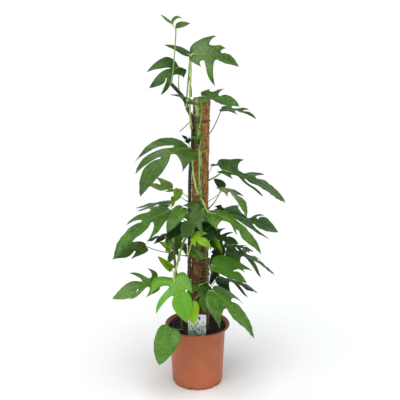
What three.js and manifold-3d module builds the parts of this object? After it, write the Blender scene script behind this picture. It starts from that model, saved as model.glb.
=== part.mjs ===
// A mini monstera (Rhaphidophora tetrasperma) climbing a coir pole in a plastic nursery pot.
// Millimetres, +Z up, origin under the centre of the pot's base, front of the plant towards -Y.
import * as THREE from "three";
import { mergeVertices } from "three/addons/utils/BufferGeometryUtils.js";
import Module from "manifold-3d";

const wasm = await Module();
wasm.setup();

// ---- Driving dimensions ----
const POT = { baseR: 104, rimR: 135, height: 258, wall: 2.2, floor: 14, footHeight: 12 };
const FOOT_NOTCH = { count: 6, width: 30, height: 11, first: -101 };
const SOIL = { bottom: 14.4, top: 240, edgeR: 113.5, crown: 5 };
const POLE = { radius: 34, top: 1198, bottom: 120, lean: 17 / 1200, coreR: 12.5, coreTop: 1201 };
const GAP = 0.4; // clearance between touching pieces
const CARD = { x: -1, y: -95, width: 74, thick: 0.8, top: 332, shoulder: 205, tip: 150, lean: -3 };
const BLADE = { thick: 1.2, lobeSteps: 3, stations: 6, innerRows: 1 };
const PETIOLE = { sides: 4, steps: 5 };

// ---- Colours ----
const COLOURS = {
  pot: "#a8664a",
  soil: "#2c2019",
  coir: "#7e6035",
  core: "#6b4a2c",
  card: "#e6e9e4",
  wire: "#26241f",
  stemDark: "#33471f",
  stemLight: "#6f9a3c",
  stemDry: "#6a4a30",
  deep: "#2a441e",
  dark: "#426228",
  mid: "#5a782c",
  light: "#54842c",
  pale: "#7c9646",
  lime: "#7ca61e",
};

// ---- Stems: radius, colour and the points each one climbs through ----
const STEMS = {
  left: {
    radius: 7.5,
    colour: "stemDark",
    points: [
      [-38, -22, 212], [-35, -21, 400], [-32, -22, 600], [-30, -25, 800], [-28, -27, 905],
      [-19, -31, 1005], [-18, -31, 1110], [-36, -28, 1155], [-48, -36, 1192], [-64, -48, 1217],
      [-100, -86, 1262],
    ],
  },
  front: {
    radius: 7.5,
    colour: "stemLight",
    points: [
      [42, -34, 212], [40, -34, 400], [40, -36, 520], [28, -44, 650], [13, -48, 800],
      [10, -48, 1000], [2, -48, 1120], [0, -48, 1205],
    ],
  },
  right: {
    radius: 4.5,
    colour: "stemDark",
    points: [
      [46, 14, 212], [42, 28, 400], [36, 34, 600], [34, 36, 800], [34, 38, 960], [32, 42, 1065],
    ],
  },
  back: {
    radius: 4.5,
    colour: "stemDark",
    points: [
      [-8, 44, 212], [0, 43, 500], [6, 43, 800], [10, 44, 1100],
    ],
  },
  shoot: {
    radius: 5.5,
    colour: "stemLight",
    points: [
      [-60, -45, 212], [-62, -47, 262], [-76, -60, 400], [-86, -64, 510], [-94, -62, 600],
      [-96, -60, 655],
    ],
  },
  dry: {
    radius: 2.4,
    colour: "stemDry",
    points: [
      [-22, -14, 1201.8], [-24, -14, 1240], [-34, -18, 1292],
    ],
  },
};

// ---- Ties: height on the pole, wire radius, and the stems each one holds ----
const TIES = {
  tie_top: { z: 1108, wire: 1.7, stems: ["left", "front"], tail: [-68, -52, 1072] },
  tie_middle: { z: 757, wire: 1.2, stems: ["left", "front", "right"] },
  tie_bottom: { z: 385, wire: 1.2, stems: ["left", "front", "right"] },
};

// ---- Blade forms, in blade lengths ----
// Each side lists its lobes from the base: [tip x, tip y, sinus x, sinus y]; end is the half
// width of the end lobe, and flare, 1 where it isn't given, is how far the first lobes bulge out.
const FORMS = {
  trident: {
    left: [[0.48, 0.24, 0.41, 0.01]],
    right: [[0.71, 0.23, 0.3, 0.05], [0.82, 0.16, 0.52, 0.03]],
    end: 0.1,
    flare: 0.6,
  },
  claw: {
    left: [[0.45, 0.26, 0.36, 0.13]],
    right: [[0.2, 0.57, 0.16, 0.16], [0.64, 0.57, 0.4, 0.14]],
    end: 0.2,
    flare: 1.6,
  },
  antler: {
    left: [[0.3, 0.43, 0.27, 0.07], [0.64, 0.34, 0.5, 0.11]],
    right: [[0.14, 0.16, 0.17, 0.05], [0.57, 0.3, 0.32, 0.05]],
    end: 0.2,
    flare: 1.2,
  },
  stag: {
    left: [[0.34, 0.51, 0.28, 0.09], [0.77, 0.35, 0.59, 0.07]],
    right: [[0.54, 0.5, 0.44, 0.12]],
    end: 0.14,
  },
  lance: {
    left: [[0.52, 0.46, 0.34, 0.09]],
    right: [[0.51, 0.46, 0.37, 0.1]],
    end: 0.16,
  },
  sword: {
    left: [[0.55, 0.34, 0.32, 0.05]],
    right: [[0.36, 0.38, 0.24, 0.16], [0.6, 0.26, 0.42, 0.06]],
    end: 0.15,
    flare: 0.35,
  },
  mitt: {
    left: [[0.36, 0.35, 0.44, 0.02], [0.78, 0.28, 0.62, 0.08]],
    right: [[0.72, 0.42, 0.52, 0.1]],
    end: 0.21,
    flare: 0.3,
  },
  blade: {
    left: [[0.62, 0.16, 0.42, 0.08]],
    right: [[0.32, 0.3, 0.34, 0.06], [0.56, 0.13, 0.54, 0.06]],
    end: 0.09,
    flare: 0.5,
  },
  spear: {
    left: [[0.55, 0.24, 0.36, 0.06]],
    right: [[0.42, 0.34, 0.46, 0.22]],
    end: 0.14,
    flare: 0.9,
  },
  palm: {
    left: [[0.12, 0.32, 0.28, 0.12], [0.9, 0.32, 0.5, 0.06]],
    right: [[0.76, 0.37, 0.24, 0.07]],
    end: 0.14,
    flare: 1.5,
  },
  crown: {
    left: [[0.5, 0.5, 0.36, 0.22], [0.68, 0.27, 0.58, 0.1]],
    right: [[0.2, 0.28, 0.22, 0.12], [0.48, 0.6, 0.48, 0.07]],
    end: 0.11,
    flare: 0.7,
  },
  fringe: {
    left: [[0.08, 0.46, 0.14, 0.28], [0.42, 0.52, 0.44, 0.1]],
    right: [[0.3, 0.4, 0.36, 0.14]],
    end: 0.26,
  },
  fan: {
    left: [[0.36, 0.28, 0.22, 0.06], [0.68, 0.17, 0.44, 0.03]],
    right: [[0.06, 0.38, 0.1, 0.12], [0.46, 0.4, 0.3, 0.1]],
    end: 0.17,
  },
  wing: {
    left: [[0.3, 0.14, 0.2, 0.05]],
    right: [[0.62, 0.42, 0.45, 0.12]],
    end: 0.12,
  },
  hand: {
    left: [[0.36, 0.52, 0.3, 0.12], [0.7, 0.38, 0.53, 0.1]],
    right: [[0.33, 0.5, 0.27, 0.11], [0.64, 0.4, 0.47, 0.09]],
    end: 0.15,
  },
  broad: {
    left: [[0.32, 0.5, 0.36, 0.24], [0.66, 0.42, 0.6, 0.14]],
    right: [[0.3, 0.52, 0.32, 0.22], [0.66, 0.38, 0.56, 0.14]],
    end: 0.2,
  },
  fingers: {
    left: [[0.26, 0.46, 0.21, 0.1], [0.54, 0.46, 0.41, 0.09], [0.8, 0.3, 0.61, 0.07]],
    right: [[0.32, 0.5, 0.28, 0.1], [0.66, 0.4, 0.5, 0.08]],
    end: 0.12,
  },
  young: {
    left: [[0.52, 0.42, 0.4, 0.12]],
    right: [[0.44, 0.36, 0.34, 0.12]],
    end: 0.17,
  },
  paddle: {
    left: [[1.1, 0.42, 0.58, 0.09]],
    right: [],
    end: 0.13,
    flare: 0.9,
  },
  entire: { left: [], right: [], end: 0.31 },
  oval: { left: [], right: [], end: 0.2 },
  bud: { left: [], right: [], end: 0.12 },
};

// ---- Leaves ----
// name, form, base of the blade, tip, [roll, droop, fold, arch] in degrees, where the petiole
// starts (a stem and a height on it, or another leaf), how steeply the petiole rises into the
// blade, petiole radius, colour.
const LEAVES = [
  ["top", "oval", [-76, -100, 1468], [-25, -115, 1478], [60, 5, 10, 0], "left", 1260, 0.9, 2.6, "pale"],
  ["top_bud", "bud", [-96, -104, 1480], [-131, -120, 1510], [-60, -15, 10, 0],
    "top", 0.8, 0.6, 1.2, "pale"],
  ["top_arch", "oval", [-88, -98, 1474], [-52, -90, 1490], [20, 165, 10, 0], "top", 0.8, 0.6, 1.2, "pale"],
  ["crown_right", "crown", [-22, -70, 1362], [160, -20, 1316], [50, 60, 10, 20],
    "left", 1085, 0.9, 4.2, "mid"],
  ["crown_left", "bud", [-27, -50, 1360], [-125, -10, 1398], [-30, 20, 10, 10],
    "left", 1165, 0.9, 3.4, "dark"],
  ["upper_left", "palm", [-70, 0, 1315], [-181, -70, 1240], [-50, 30, 0, 10],
    "left", 1200, 0.6, 2.4, "dark"],
  ["upper_right", "fringe", [18, -60, 1208], [158, -110, 1176], [20, 30, 5, 0],
    "front", 1090, 0.5, 2.2, "light"],
  ["slim_right", "stag", [98, 40, 1150], [232, 10, 1112], [6, 45, 5, 10], "right", 1040, 0.1, 2.2, "dark"],
  ["slim_left", "lance", [-5, -130, 1195], [-100, -150, 1225], [-10, 20, 5, 30],
    "front", 1135, 0.5, 3, "dark"],
  ["big_left", "trident", [-22, -60, 1006], [-213, -190, 848], [-35, 140, 0, 0],
    "front", 830, 0.7, 3.6, "light"],
  ["curl", "young", [7, -68, 1030], [-25, -80, 1060], [-50, 50, 30, 0], "front", 860, 0.4, 2.8, "light"],
  ["curl_roll", "young", [8, -68, 1028], [26, -74, 1073], [60, 80, 30, 0], "curl", 0.8, 0.6, 1.4, "light"],
  ["tuck", "young", [-32, 18, 1020], [-62, 20, 1048], [-60, 40, 30, 0], "left", 1000, 0.6, 1.6, "deep"],
  ["under", "wing", [-98, -30, 842], [-203, 10, 853], [-110, 20, 10, 10], "left", 790, 0.3, 1.8, "pale"],
  ["twist", "entire", [-72, -58, 848], [-84, -66, 800], [-60, 30, 20, 0], "left", 810, 0.3, 1.6, "lime"],
  ["twist_tip", "oval", [-93, -62, 818], [-98, -66, 776], [-60, 30, 20, 0], "twist", 0.4, 0.4, 1.2, "lime"],
  ["big_right", "antler", [100, -40, 918], [355, -5, 778], [20, 40, 0, 0], "right", 860, 0.3, 3.2, "dark"],
  ["behind", "young", [60, 60, 915], [105, 90, 920], [0, 10, 10, 20], "right", 880, 0.5, 1.6, "dark"],
  ["hidden_right", "entire", [110, 30, 830], [65, 20, 870], [-50, 20, 5, 20],
    "right", 770, 0.3, 1.8, "deep"],
  ["arching", "young", [95, -45, 850], [190, -130, 748], [-15, 75, 0, 0], "right", 740, 0.6, 2.8, "pale"],
  ["dark_right", "mitt", [100, 20, 738], [340, 80, 630], [16, 15, 5, 0], "right", 640, 0.5, 3, "deep"],
  ["light_right", "blade", [42, -106, 768], [246, -180, 618], [18, 65, 0, 10],
    "front", 810, 0.2, 3.2, "mid"],
  ["centre", "broad", [26, -76, 773], [-58, -124, 668], [-40, 50, 10, 10], "front", 730, 0.7, 2.6, "mid"],
  ["centre_left", "oval", [-55, -120, 790], [-115, -185, 706], [-25, 50, 0, 20],
    "left", 740, 0.5, 2.4, "light"],
  ["under_centre", "entire", [-65, -60, 715], [-115, -110, 655], [-20, 30, 0, 20],
    "left", 690, 0.3, 2, "deep"],
  ["slim_back_left", "stag", [-115, 55, 755], [-260, 105, 725], [-3, 25, 5, 20],
    "left", 700, 0.5, 1.8, "dark"],
  ["light_left", "sword", [-105, -70, 765], [-325, -140, 595], [-20, 55, 0, 10],
    "left", 720, 0.5, 2.4, "light"],
  ["low_left", "spear", [-205, -60, 612], [-335, -110, 575], [-30, 30, 0, 10],
    "left", 560, 0.2, 1.8, "mid"],
  ["bottom_left", "fan", [-165, -85, 470], [-335, -150, 425], [-40, 35, 5, 10],
    "shoot", 445, 0.5, 2.8, "mid"],
  ["front_left", "claw", [-92, -130, 506], [-40, -200, 345], [20, 60, 0, 10], "left", 650, 0, 5, "light"],
  ["front_lime", "entire", [-30, -120, 400], [-12, -165, 325], [30, 30, 5, 40],
    "left", 330, 0.6, 2, "lime"],
  ["heart", "entire", [-104, -170, 310], [-150, -215, 172], [-10, 30, 5, 30],
    "shoot", 250, 1.2, 1.8, "light"],
  ["front_right", "lance", [59, -135, 454], [224, -200, 279], [5, 35, 0, 20],
    "front", 395, 0.4, 2.4, "light"],
  ["front_centre", "hand", [5, -62, 450], [30, -115, 350], [0, 60, 0, 20], "front", 455, 0.4, 2, "mid"],
  ["middle_right", "paddle", [54, -132, 560], [197, -110, 476], [44, 25, 5, 20],
    "front", 480, 0.4, 2, "dark"],
  ["fan_right", "fingers", [125, 20, 573], [325, 45, 452], [10, 35, 0, 20], "right", 520, 0.4, 2.4, "dark"],
  ["low_right", "fingers", [82, 16, 450], [257, 54, 367], [6, 35, 0, 35], "right", 400, 0.5, 2, "deep"],
  ["inner_right", "hand", [60, -30, 645], [165, -60, 625], [40, 30, 0, 20], "right", 580, 0.4, 1.8, "deep"],
  ["lime_front", "young", [-15, -120, 675], [55, -160, 640], [50, 45, 5, 20],
    "left", 560, 0.5, 2.4, "lime"],
  ["lime_right", "oval", [55, -80, 655], [97, -110, 598], [25, 20, 55, 0], "front", 620, 0.4, 1.6, "lime"],
  ["pale_upper", "entire", [-25, -40, 620], [15, -90, 615], [60, 20, 20, 0],
    "front", 570, 0.4, 1.6, "pale"],
  ["pale_lower", "entire", [-15, -60, 595], [25, -90, 565], [60, 30, 30, 0],
    "front", 560, 0.4, 1.6, "pale"],
  ["lime_left", "young", [-105, -95, 610], [-150, -120, 650], [-60, 30, 20, 0],
    "shoot", 600, 0.4, 1.8, "lime"],
  ["lime_lower", "oval", [-100, -100, 535], [-155, -120, 592], [-95, 40, 40, 0],
    "shoot", 500, 0.4, 1.8, "lime"],
  ["inner_left", "hand", [-70, 25, 605], [-120, -5, 520], [-30, 30, 0, 20], "left", 560, 0.4, 2, "mid"],
  ["dark_left", "young", [-130, 10, 635], [-210, 40, 605], [-15, 20, 0, 30], "left", 610, 0.4, 1.8, "deep"],
  ["back_middle", "hand", [-5, 90, 655], [70, 130, 580], [20, 20, 0, 20], "back", 640, 0.4, 2, "deep"],
  ["back_low", "hand", [60, 114, 458], [125, 146, 347], [20, 30, 0, 20], "back", 450, 0.4, 2, "deep"],
  ["back_bottom", "entire", [25, 60, 355], [50, 60, 280], [0, 30, 0, 20], "back", 330, 0.4, 1.8, "deep"],
  ["inner_top", "entire", [68, -76, 706], [-26, -98, 646], [-50, 30, 0, 20],
    "inner_right", 0.5, 0.5, 1.8, "deep"],
  ["behind_mid", "broad", [48, 102, 606], [98, 112, 492], [10, 30, 0, 20],
    "back_middle", 0.5, 0.5, 1.8, "deep"],
  ["behind_low", "entire", [58, 116, 500], [84, 130, 396], [0, 30, 0, 20],
    "back_low", 0.5, 0.5, 1.8, "deep"],
  ["inner_low", "broad", [98, 0, 598], [56, 8, 508], [-40, 30, 0, 20],
    "inner_right", 0.5, 0.5, 1.8, "deep"],
  ["low_inner", "entire", [76, 0, 492], [52, 10, 420], [-40, 30, 0, 20],
    "low_right", 0.5, 0.5, 1.8, "deep"],
  ["inner_side", "entire", [-74, -4, 664], [-126, -28, 586], [-40, 30, 0, 20],
    "inner_left", 0.5, 0.5, 1.8, "mid"],
  ["fan_upper", "fingers", [123, 45, 584], [236, 60, 549], [10, 30, 0, 20],
    "fan_right", 0.5, 0.5, 1.8, "dark"],
  ["dark_inner", "young", [101, 35, 750], [55, 30, 712], [-50, 30, 0, 20],
    "dark_right", 0.5, 0.5, 1.8, "deep"],
];

const UP = new THREE.Vector3(0, 0, 1);
const RAD = Math.PI / 180;
const vec = (p) => new THREE.Vector3(...p);

// ---- Solids ----

function solidFrom(geometry) {
  const bare = geometry.clone();
  bare.deleteAttribute("normal");
  bare.deleteAttribute("uv");
  const merged = mergeVertices(bare, 1e-3);
  const count = merged.getAttribute("position").count;
  const index = merged.index ? merged.index.array : [...Array(count).keys()];
  return new wasm.Manifold(
    new wasm.Mesh({
      numProp: 3,
      vertProperties: new Float32Array(merged.getAttribute("position").array),
      triVerts: new Uint32Array(index),
    }),
  );
}

function geometryFrom(solid) {
  const mesh = solid.getMesh();
  const geometry = new THREE.BufferGeometry();
  geometry.setAttribute("position", new THREE.BufferAttribute(new Float32Array(mesh.vertProperties), 3));
  geometry.setIndex(new THREE.BufferAttribute(new Uint32Array(mesh.triVerts), 1));
  geometry.computeVertexNormals();
  return geometry;
}

function lathe(profile, segments) {
  const geometry = new THREE.LatheGeometry(profile.map(([r, z]) => new THREE.Vector2(r, z)), segments);
  return geometry.rotateX(Math.PI / 2);
}

function tube(curve, radius, sides, steps) {
  const section = new THREE.Shape();
  for (let i = 0; i < sides; i++) {
    const angle = (2 * Math.PI * i) / sides;
    const x = radius * Math.cos(angle);
    const y = radius * Math.sin(angle);
    if (i === 0) section.moveTo(x, y);
    else section.lineTo(x, y);
  }
  return new THREE.ExtrudeGeometry(section, { steps, extrudePath: curve, bevelEnabled: false });
}

// A straight cylinder that leans with the pole.
function leaningCylinder(radius, bottom, top, sides) {
  const geometry = new THREE.CylinderGeometry(radius, radius, top - bottom, sides);
  geometry.rotateX(Math.PI / 2);
  geometry.translate(0, 0, (bottom + top) / 2);
  const position = geometry.getAttribute("position");
  for (let i = 0; i < position.count; i++) {
    position.setX(i, position.getX(i) + poleX(position.getZ(i)));
  }
  return geometry;
}

function poleX(z) {
  return POLE.lean * z;
}

// ---- Pot, soil, pole and card ----

function potGeometry() {
  const { baseR, rimR, height, wall, floor, footHeight } = POT;
  const lipR = 117;
  const profile = [
    [0, 0], [16, 0], [18, floor - wall], [baseR - 6, floor - wall], [baseR - 4.5, 0],
    [baseR - 1, 0], [baseR, footHeight], [baseR + 1.8, footHeight + 2],
    [lipR - 0.5, height - 22], [lipR + 1, height - 15], [lipR + 4, height - 11],
    [rimR - 3, height - 8.5], [rimR, height - 6], [rimR, height - 2], [rimR - 1.5, height],
    [rimR - 6, height], [rimR - 11, height - 4], [lipR + 2.5, height - 11],
    [lipR - 2.5, height - 22], [baseR - 0.6, floor + 4], [baseR - 4, floor], [0, floor],
  ];
  let solid = solidFrom(lathe(profile, 48));
  for (let i = 0; i < FOOT_NOTCH.count; i++) {
    const notch = new THREE.BoxGeometry(FOOT_NOTCH.width, 16, 2 * FOOT_NOTCH.height);
    notch.translate(0, baseR, 0);
    notch.rotateZ((FOOT_NOTCH.first - 90) * RAD + (2 * Math.PI * i) / FOOT_NOTCH.count);
    solid = solid.subtract(solidFrom(notch));
  }
  return geometryFrom(solid);
}

// The soil fills the pot, with a socket for the pole, each stem and the card.
function soilGeometry() {
  const { bottom, top, edgeR, crown } = SOIL;
  const bottomR = POT.baseR - 4.6;
  const profile = [
    [0, bottom], [bottomR, bottom], [bottomR + 3.2, bottom + 4.5], [edgeR, top - 2],
    [edgeR - 6, top], [70, top + crown * 0.6], [0, top + crown],
  ];
  let solid = solidFrom(lathe(profile, 40));
  const sockets = [
    leaningCylinder(POLE.radius + GAP, POLE.bottom - GAP, POT.height, 24),
    leaningCylinder(POLE.coreR + GAP, POT.floor + 12, POT.height, 16),
    cardGeometry(GAP),
  ];
  for (const name of Object.keys(STEMS)) {
    const foot = vec(STEMS[name].points[0]);
    if (foot.z > SOIL.top) continue;
    const socket = new THREE.CylinderGeometry(STEMS[name].radius + 4, STEMS[name].radius + 1.5, 60, 10);
    socket.rotateX(Math.PI / 2);
    socket.translate(foot.x, foot.y, foot.z + 30 - GAP);
    sockets.push(socket);
  }
  for (const socket of sockets) solid = solid.subtract(solidFrom(socket));
  return geometryFrom(solid);
}

function coirGeometry() {
  const outer = solidFrom(leaningCylinder(POLE.radius, POLE.bottom, POLE.top, 20));
  const bore = solidFrom(leaningCylinder(POLE.coreR + GAP, POLE.bottom - 5, POLE.top + 5, 12));
  return geometryFrom(outer.subtract(bore));
}

function coreGeometry() {
  return leaningCylinder(POLE.coreR, POT.floor + 12 + GAP, POLE.coreTop, 12);
}

// A blank plant card with clipped corners on a pointed stake.
function cardGeometry(margin = 0) {
  const { x, y, width, thick, top, shoulder, tip, lean } = CARD;
  const w = width / 2 + margin;
  const shape = new THREE.Shape();
  shape.moveTo(0, tip - shoulder - margin);
  shape.lineTo(10 + margin, tip - shoulder + 18);
  shape.lineTo(w, -margin);
  shape.lineTo(w, top - shoulder - 5);
  shape.lineTo(w - 5, top - shoulder + margin);
  shape.lineTo(5 - w, top - shoulder + margin);
  shape.lineTo(-w, top - shoulder - 5);
  shape.lineTo(-w, -margin);
  shape.lineTo(-10 - margin, tip - shoulder + 18);
  shape.closePath();
  const geometry = new THREE.ExtrudeGeometry(shape, { depth: thick + 2 * margin, bevelEnabled: false });
  geometry.translate(0, 0, -thick / 2 - margin);
  geometry.rotateX(Math.PI / 2);
  geometry.rotateX(lean * RAD);
  return geometry.translate(x, y, shoulder);
}

// ---- Stems and ties ----

const stemCurves = {};
for (const name of Object.keys(STEMS)) {
  stemCurves[name] = new THREE.CatmullRomCurve3(STEMS[name].points.map(vec), false, "catmullrom", 0.5);
}

// The point where a stem's centre line is at height z.
function stemPoint(name, z) {
  let low = 0;
  let high = 1;
  for (let i = 0; i < 30; i++) {
    const middle = (low + high) / 2;
    if (stemCurves[name].getPoint(middle).z < z) low = middle;
    else high = middle;
  }
  return stemCurves[name].getPoint(low);
}

function stemGeometry(name) {
  const steps = Math.max(6, 3 * (STEMS[name].points.length - 1));
  return tube(stemCurves[name], STEMS[name].radius, 6, steps);
}

// A wire pulled tight round the pole and the stems it holds.
function tieGeometry({ z, wire, stems, tail }) {
  const circles = [{ x: poleX(z), y: 0, r: POLE.radius }];
  for (const name of stems) {
    const centre = stemPoint(name, z);
    circles.push({ x: centre.x, y: centre.y, r: STEMS[name].radius + 1.5 });
  }
  const loop = [];
  const count = 36;
  for (let i = 0; i < count; i++) {
    const angle = (2 * Math.PI * i) / count;
    const [ux, uy] = [Math.cos(angle), Math.sin(angle)];
    const reach = (c) => c.x * ux + c.y * uy + c.r;
    const widest = circles.reduce((a, b) => (reach(a) > reach(b) ? a : b));
    const r = widest.r + wire + GAP;
    loop.push(new THREE.Vector3(widest.x + r * ux, widest.y + r * uy, z));
  }
  const ring = new THREE.CatmullRomCurve3(loop, true, "catmullrom", 0.3);
  const geometry = closedTube(ring, wire, 5, 36);
  if (!tail) return geometry;
  const start = loop[Math.round(count * 0.58)].clone();
  const wireEnd = new THREE.CatmullRomCurve3([start, start.clone().lerp(vec(tail), 0.5), vec(tail)]);
  return geometryFrom(solidFrom(geometry).add(solidFrom(tube(wireEnd, wire, 5, 3))));
}

// A ring-shaped tube along a closed curve that lies flat.
function closedTube(curve, radius, sides, steps) {
  const points = [];
  const index = [];
  for (let i = 0; i < steps; i++) {
    const centre = curve.getPoint(i / steps);
    const along = curve.getTangent(i / steps);
    const out = new THREE.Vector3(along.y, -along.x, 0).normalize();
    for (let j = 0; j < sides; j++) {
      const angle = (2 * Math.PI * j) / sides;
      const p = centre.clone().addScaledVector(out, radius * Math.cos(angle));
      p.z += radius * Math.sin(angle);
      points.push(p);
      const a = i * sides + j;
      const b = i * sides + ((j + 1) % sides);
      const next = ((i + 1) % steps) * sides;
      const c = next + ((j + 1) % sides);
      const d = next + j;
      index.push(a, d, b, b, d, c);
    }
  }
  const geometry = new THREE.BufferGeometry().setFromPoints(points);
  geometry.setIndex(index);
  geometry.computeVertexNormals();
  return geometry;
}

// ---- Leaf blades ----

const flat = (x, y) => new THREE.Vector2(x, y);

function bezier(p0, c1, c2, p3, steps) {
  return new THREE.CubicBezierCurve(p0, c1, c2, p3).getPoints(steps);
}

// The grids of one side of a blade, lying flat: one per lobe, then the end lobe. Each grid is
// rows of points from the midrib outwards, and its columns start at evenly spaced stations on the
// midrib, so both sides meet there; flutter grows from 0 at a lobe's root to 1 at its tip.
function sideGrids(form, lobes) {
  const { stations, lobeSteps, innerRows } = BLADE;
  const { flare = 1 } = form;
  const round = 0.045;
  const back = 0.1;
  const grids = [];
  let root = flat(0, 0);
  let station = 0;
  lobes.forEach(([tipX, tipY, sinusX, sinusY], k) => {
    const tip = flat(tipX, tipY);
    const sinus = flat(sinusX, sinusY);
    const last = Math.max(station + 1, Math.round((sinusX - 0.45 * sinusY) * stations));
    const columns = last - station;
    const axis = tip.clone().sub(root.clone().add(sinus).multiplyScalar(0.5)).normalize();
    const swept = axis.clone().add(flat(0.75, 0)).normalize();
    const near = tip.distanceTo(root);
    const far = tip.distanceTo(sinus);
    const first = k === 0;
    const nearLeave = first
      ? flat(-1.6 * back, 0.45 * near).multiplyScalar(flare)
      : root.clone().add(flat(1.7 * round, -0.01));
    const nearArrive = tip.clone().addScaledVector(swept, -0.4 * near);
    nearArrive.addScaledVector(flat(-axis.y, axis.x), near * (first ? 0.18 * flare : 0.24));
    const farLeave = tip.clone().addScaledVector(swept, -0.42 * far);
    farLeave.addScaledVector(flat(axis.y, -axis.x), far * (first ? 0.02 : 0.08));
    const farArrive = sinus.clone().sub(flat(2 * round, -0.01));
    const nearEdge = bezier(root, nearLeave, nearArrive, tip, lobeSteps);
    const farEdge = bezier(tip, farLeave, farArrive, sinus, lobeSteps).reverse();
    const midrib = evenRow(flat(station / stations, 0), flat(last / stations, 0), columns);
    const rows = bandRows(midrib, evenRow(root, sinus, columns), innerRows);
    for (let i = 1; i <= lobeSteps; i++) {
      rows.push({ flutter: i / lobeSteps, points: evenRow(nearEdge[i], farEdge[i], columns) });
    }
    grids.push({ lobe: k, rows });
    root = sinus;
    station = last;
  });
  const whole = lobes.length === 0;
  const run = 1 - root.x;
  const leave = whole
    ? flat(-0.2, form.end * 1.75)
    : root.clone().add(flat(0.24 * run, form.end * 1.25 - root.y * 0.6));
  const arrive = whole ? flat(0.62, form.end * 1.5) : flat(1 - 0.4 * run, form.end * 0.95);
  const edge = bezier(root, leave, arrive, flat(1, 0), stations - station);
  const midrib = evenRow(flat(station / stations, 0), flat(1, 0), stations - station);
  grids.push({ lobe: -1, rows: bandRows(midrib, edge, innerRows) });
  return grids;
}

function evenRow(a, b, columns) {
  return Array.from({ length: columns + 1 }, (_, j) => a.clone().lerp(b, j / columns));
}

// Rows that spread from the midrib to an outer row.
function bandRows(midrib, outer, count) {
  return Array.from({ length: count + 1 }, (_, i) => {
    return { flutter: 0, points: midrib.map((p, j) => p.clone().lerp(outer[j], i / count)) };
  });
}

// A whole blade lying flat, as welded points and faces; +y is its left side.
function flatBlade(form) {
  const points = [];
  const faces = [];
  const known = new Map();
  const keep = (p, side, lobe, flutter) => {
    const key = p.x.toFixed(5) + "," + (p.y < 1e-6 ? "midrib" : (side * p.y).toFixed(5));
    if (!known.has(key)) {
      known.set(key, points.length);
      points.push({ x: p.x, y: side * p.y, side, lobe, flutter });
    }
    return known.get(key);
  };
  for (const side of [1, -1]) {
    for (const { lobe, rows } of sideGrids(form, side > 0 ? form.left : form.right)) {
      const ids = rows.map((row) => row.points.map((p) => keep(p, side, lobe, row.flutter)));
      for (let i = 0; i + 1 < ids.length; i++) {
        for (let j = 0; j + 1 < ids[i].length; j++) {
          let face = [ids[i][j], ids[i][j + 1], ids[i + 1][j + 1], ids[i + 1][j]];
          if (side < 0) face.reverse();
          face = face.filter((v, n) => v !== face[(n + 3) % 4]);
          if (face.length >= 3) faces.push(face);
        }
      }
    }
  }
  return { points, faces };
}

// Where a blade stands: its length, and its directions along, across and up at the base.
function bladePose(base, tip, roll, droop) {
  const chord = tip.clone().sub(base);
  const along = chord.clone().normalize();
  const side = UP.clone().cross(along).normalize();
  const up = along.clone().cross(side);
  const across = side.clone().multiplyScalar(Math.cos(roll)).addScaledVector(up, Math.sin(roll));
  const top = side.clone().multiplyScalar(-Math.sin(roll)).addScaledVector(up, Math.cos(roll));
  const half = droop / 2;
  return {
    base,
    across,
    length: (chord.length() * half) / Math.sin(half),
    along: along.clone().multiplyScalar(Math.cos(half)).addScaledVector(top, Math.sin(half)),
    up: along.clone().multiplyScalar(-Math.sin(half)).addScaledVector(top, Math.cos(half)),
  };
}

function scatter(a, b) {
  const v = Math.sin(a * 12.9898 + b * 78.233) * 43758.5453;
  return v - Math.floor(v);
}

// Bends one flat point: droop along the midrib, a fold at it and an arch away from it.
function bend(pose, p, droop, fold, arch, seed) {
  const turn = droop * p.x;
  const alongX = Math.sin(turn) / droop;
  const alongZ = -(1 - Math.cos(turn)) / droop;
  const out = Math.abs(p.y);
  const curl = arch / 0.5;
  const across = curl ? (Math.sin(fold) - Math.sin(fold - curl * out)) / curl : Math.cos(fold) * out;
  let lift = curl ? (Math.cos(fold - curl * out) - Math.cos(fold)) / curl : Math.sin(fold) * out;
  const hang = p.lobe < 0 ? 0 : scatter(seed, (p.lobe + 1) * p.side) * 1.6 - 0.3;
  lift -= 0.1 * hang * p.flutter ** 2 * out;
  const up = pose.along.clone().multiplyScalar(Math.sin(turn)).addScaledVector(pose.up, Math.cos(turn));
  return pose.base
    .clone()
    .addScaledVector(pose.along, pose.length * alongX)
    .addScaledVector(pose.up, pose.length * alongZ)
    .addScaledVector(pose.across, pose.length * across * Math.sign(p.y))
    .addScaledVector(up, pose.length * lift);
}

// Turns a surface into a closed sheet of even thickness.
function sheet(points, faces, thickness) {
  const normals = points.map(() => new THREE.Vector3());
  for (const face of faces) {
    const last = face.length - 1;
    const a = points[face[last - 1]].clone().sub(points[face[0]]);
    const b = points[face[last]].clone().sub(points[face[last === 3 ? 1 : 0]]);
    const normal = a.cross(b);
    for (const v of face) normals[v].add(normal);
  }
  const count = points.length;
  const corners = [];
  for (const way of [1, -1]) {
    points.forEach((p, i) => {
      corners.push(p.clone().addScaledVector(normals[i].clone().normalize(), (way * thickness) / 2));
    });
  }
  const index = [];
  const open = new Set();
  for (const face of faces) {
    for (let i = 1; i + 1 < face.length; i++) {
      index.push(face[0], face[i], face[i + 1]);
      index.push(count + face[0], count + face[i + 1], count + face[i]);
    }
    face.forEach((a, i) => {
      const b = face[(i + 1) % face.length];
      if (!open.delete(b + "," + a)) open.add(a + "," + b);
    });
  }
  for (const edge of open) {
    const [a, b] = edge.split(",").map(Number);
    index.push(a, count + a, count + b, a, count + b, b);
  }
  const geometry = new THREE.BufferGeometry().setFromPoints(corners);
  geometry.setIndex(index);
  return geometry;
}

// ---- Petioles ----

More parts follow.
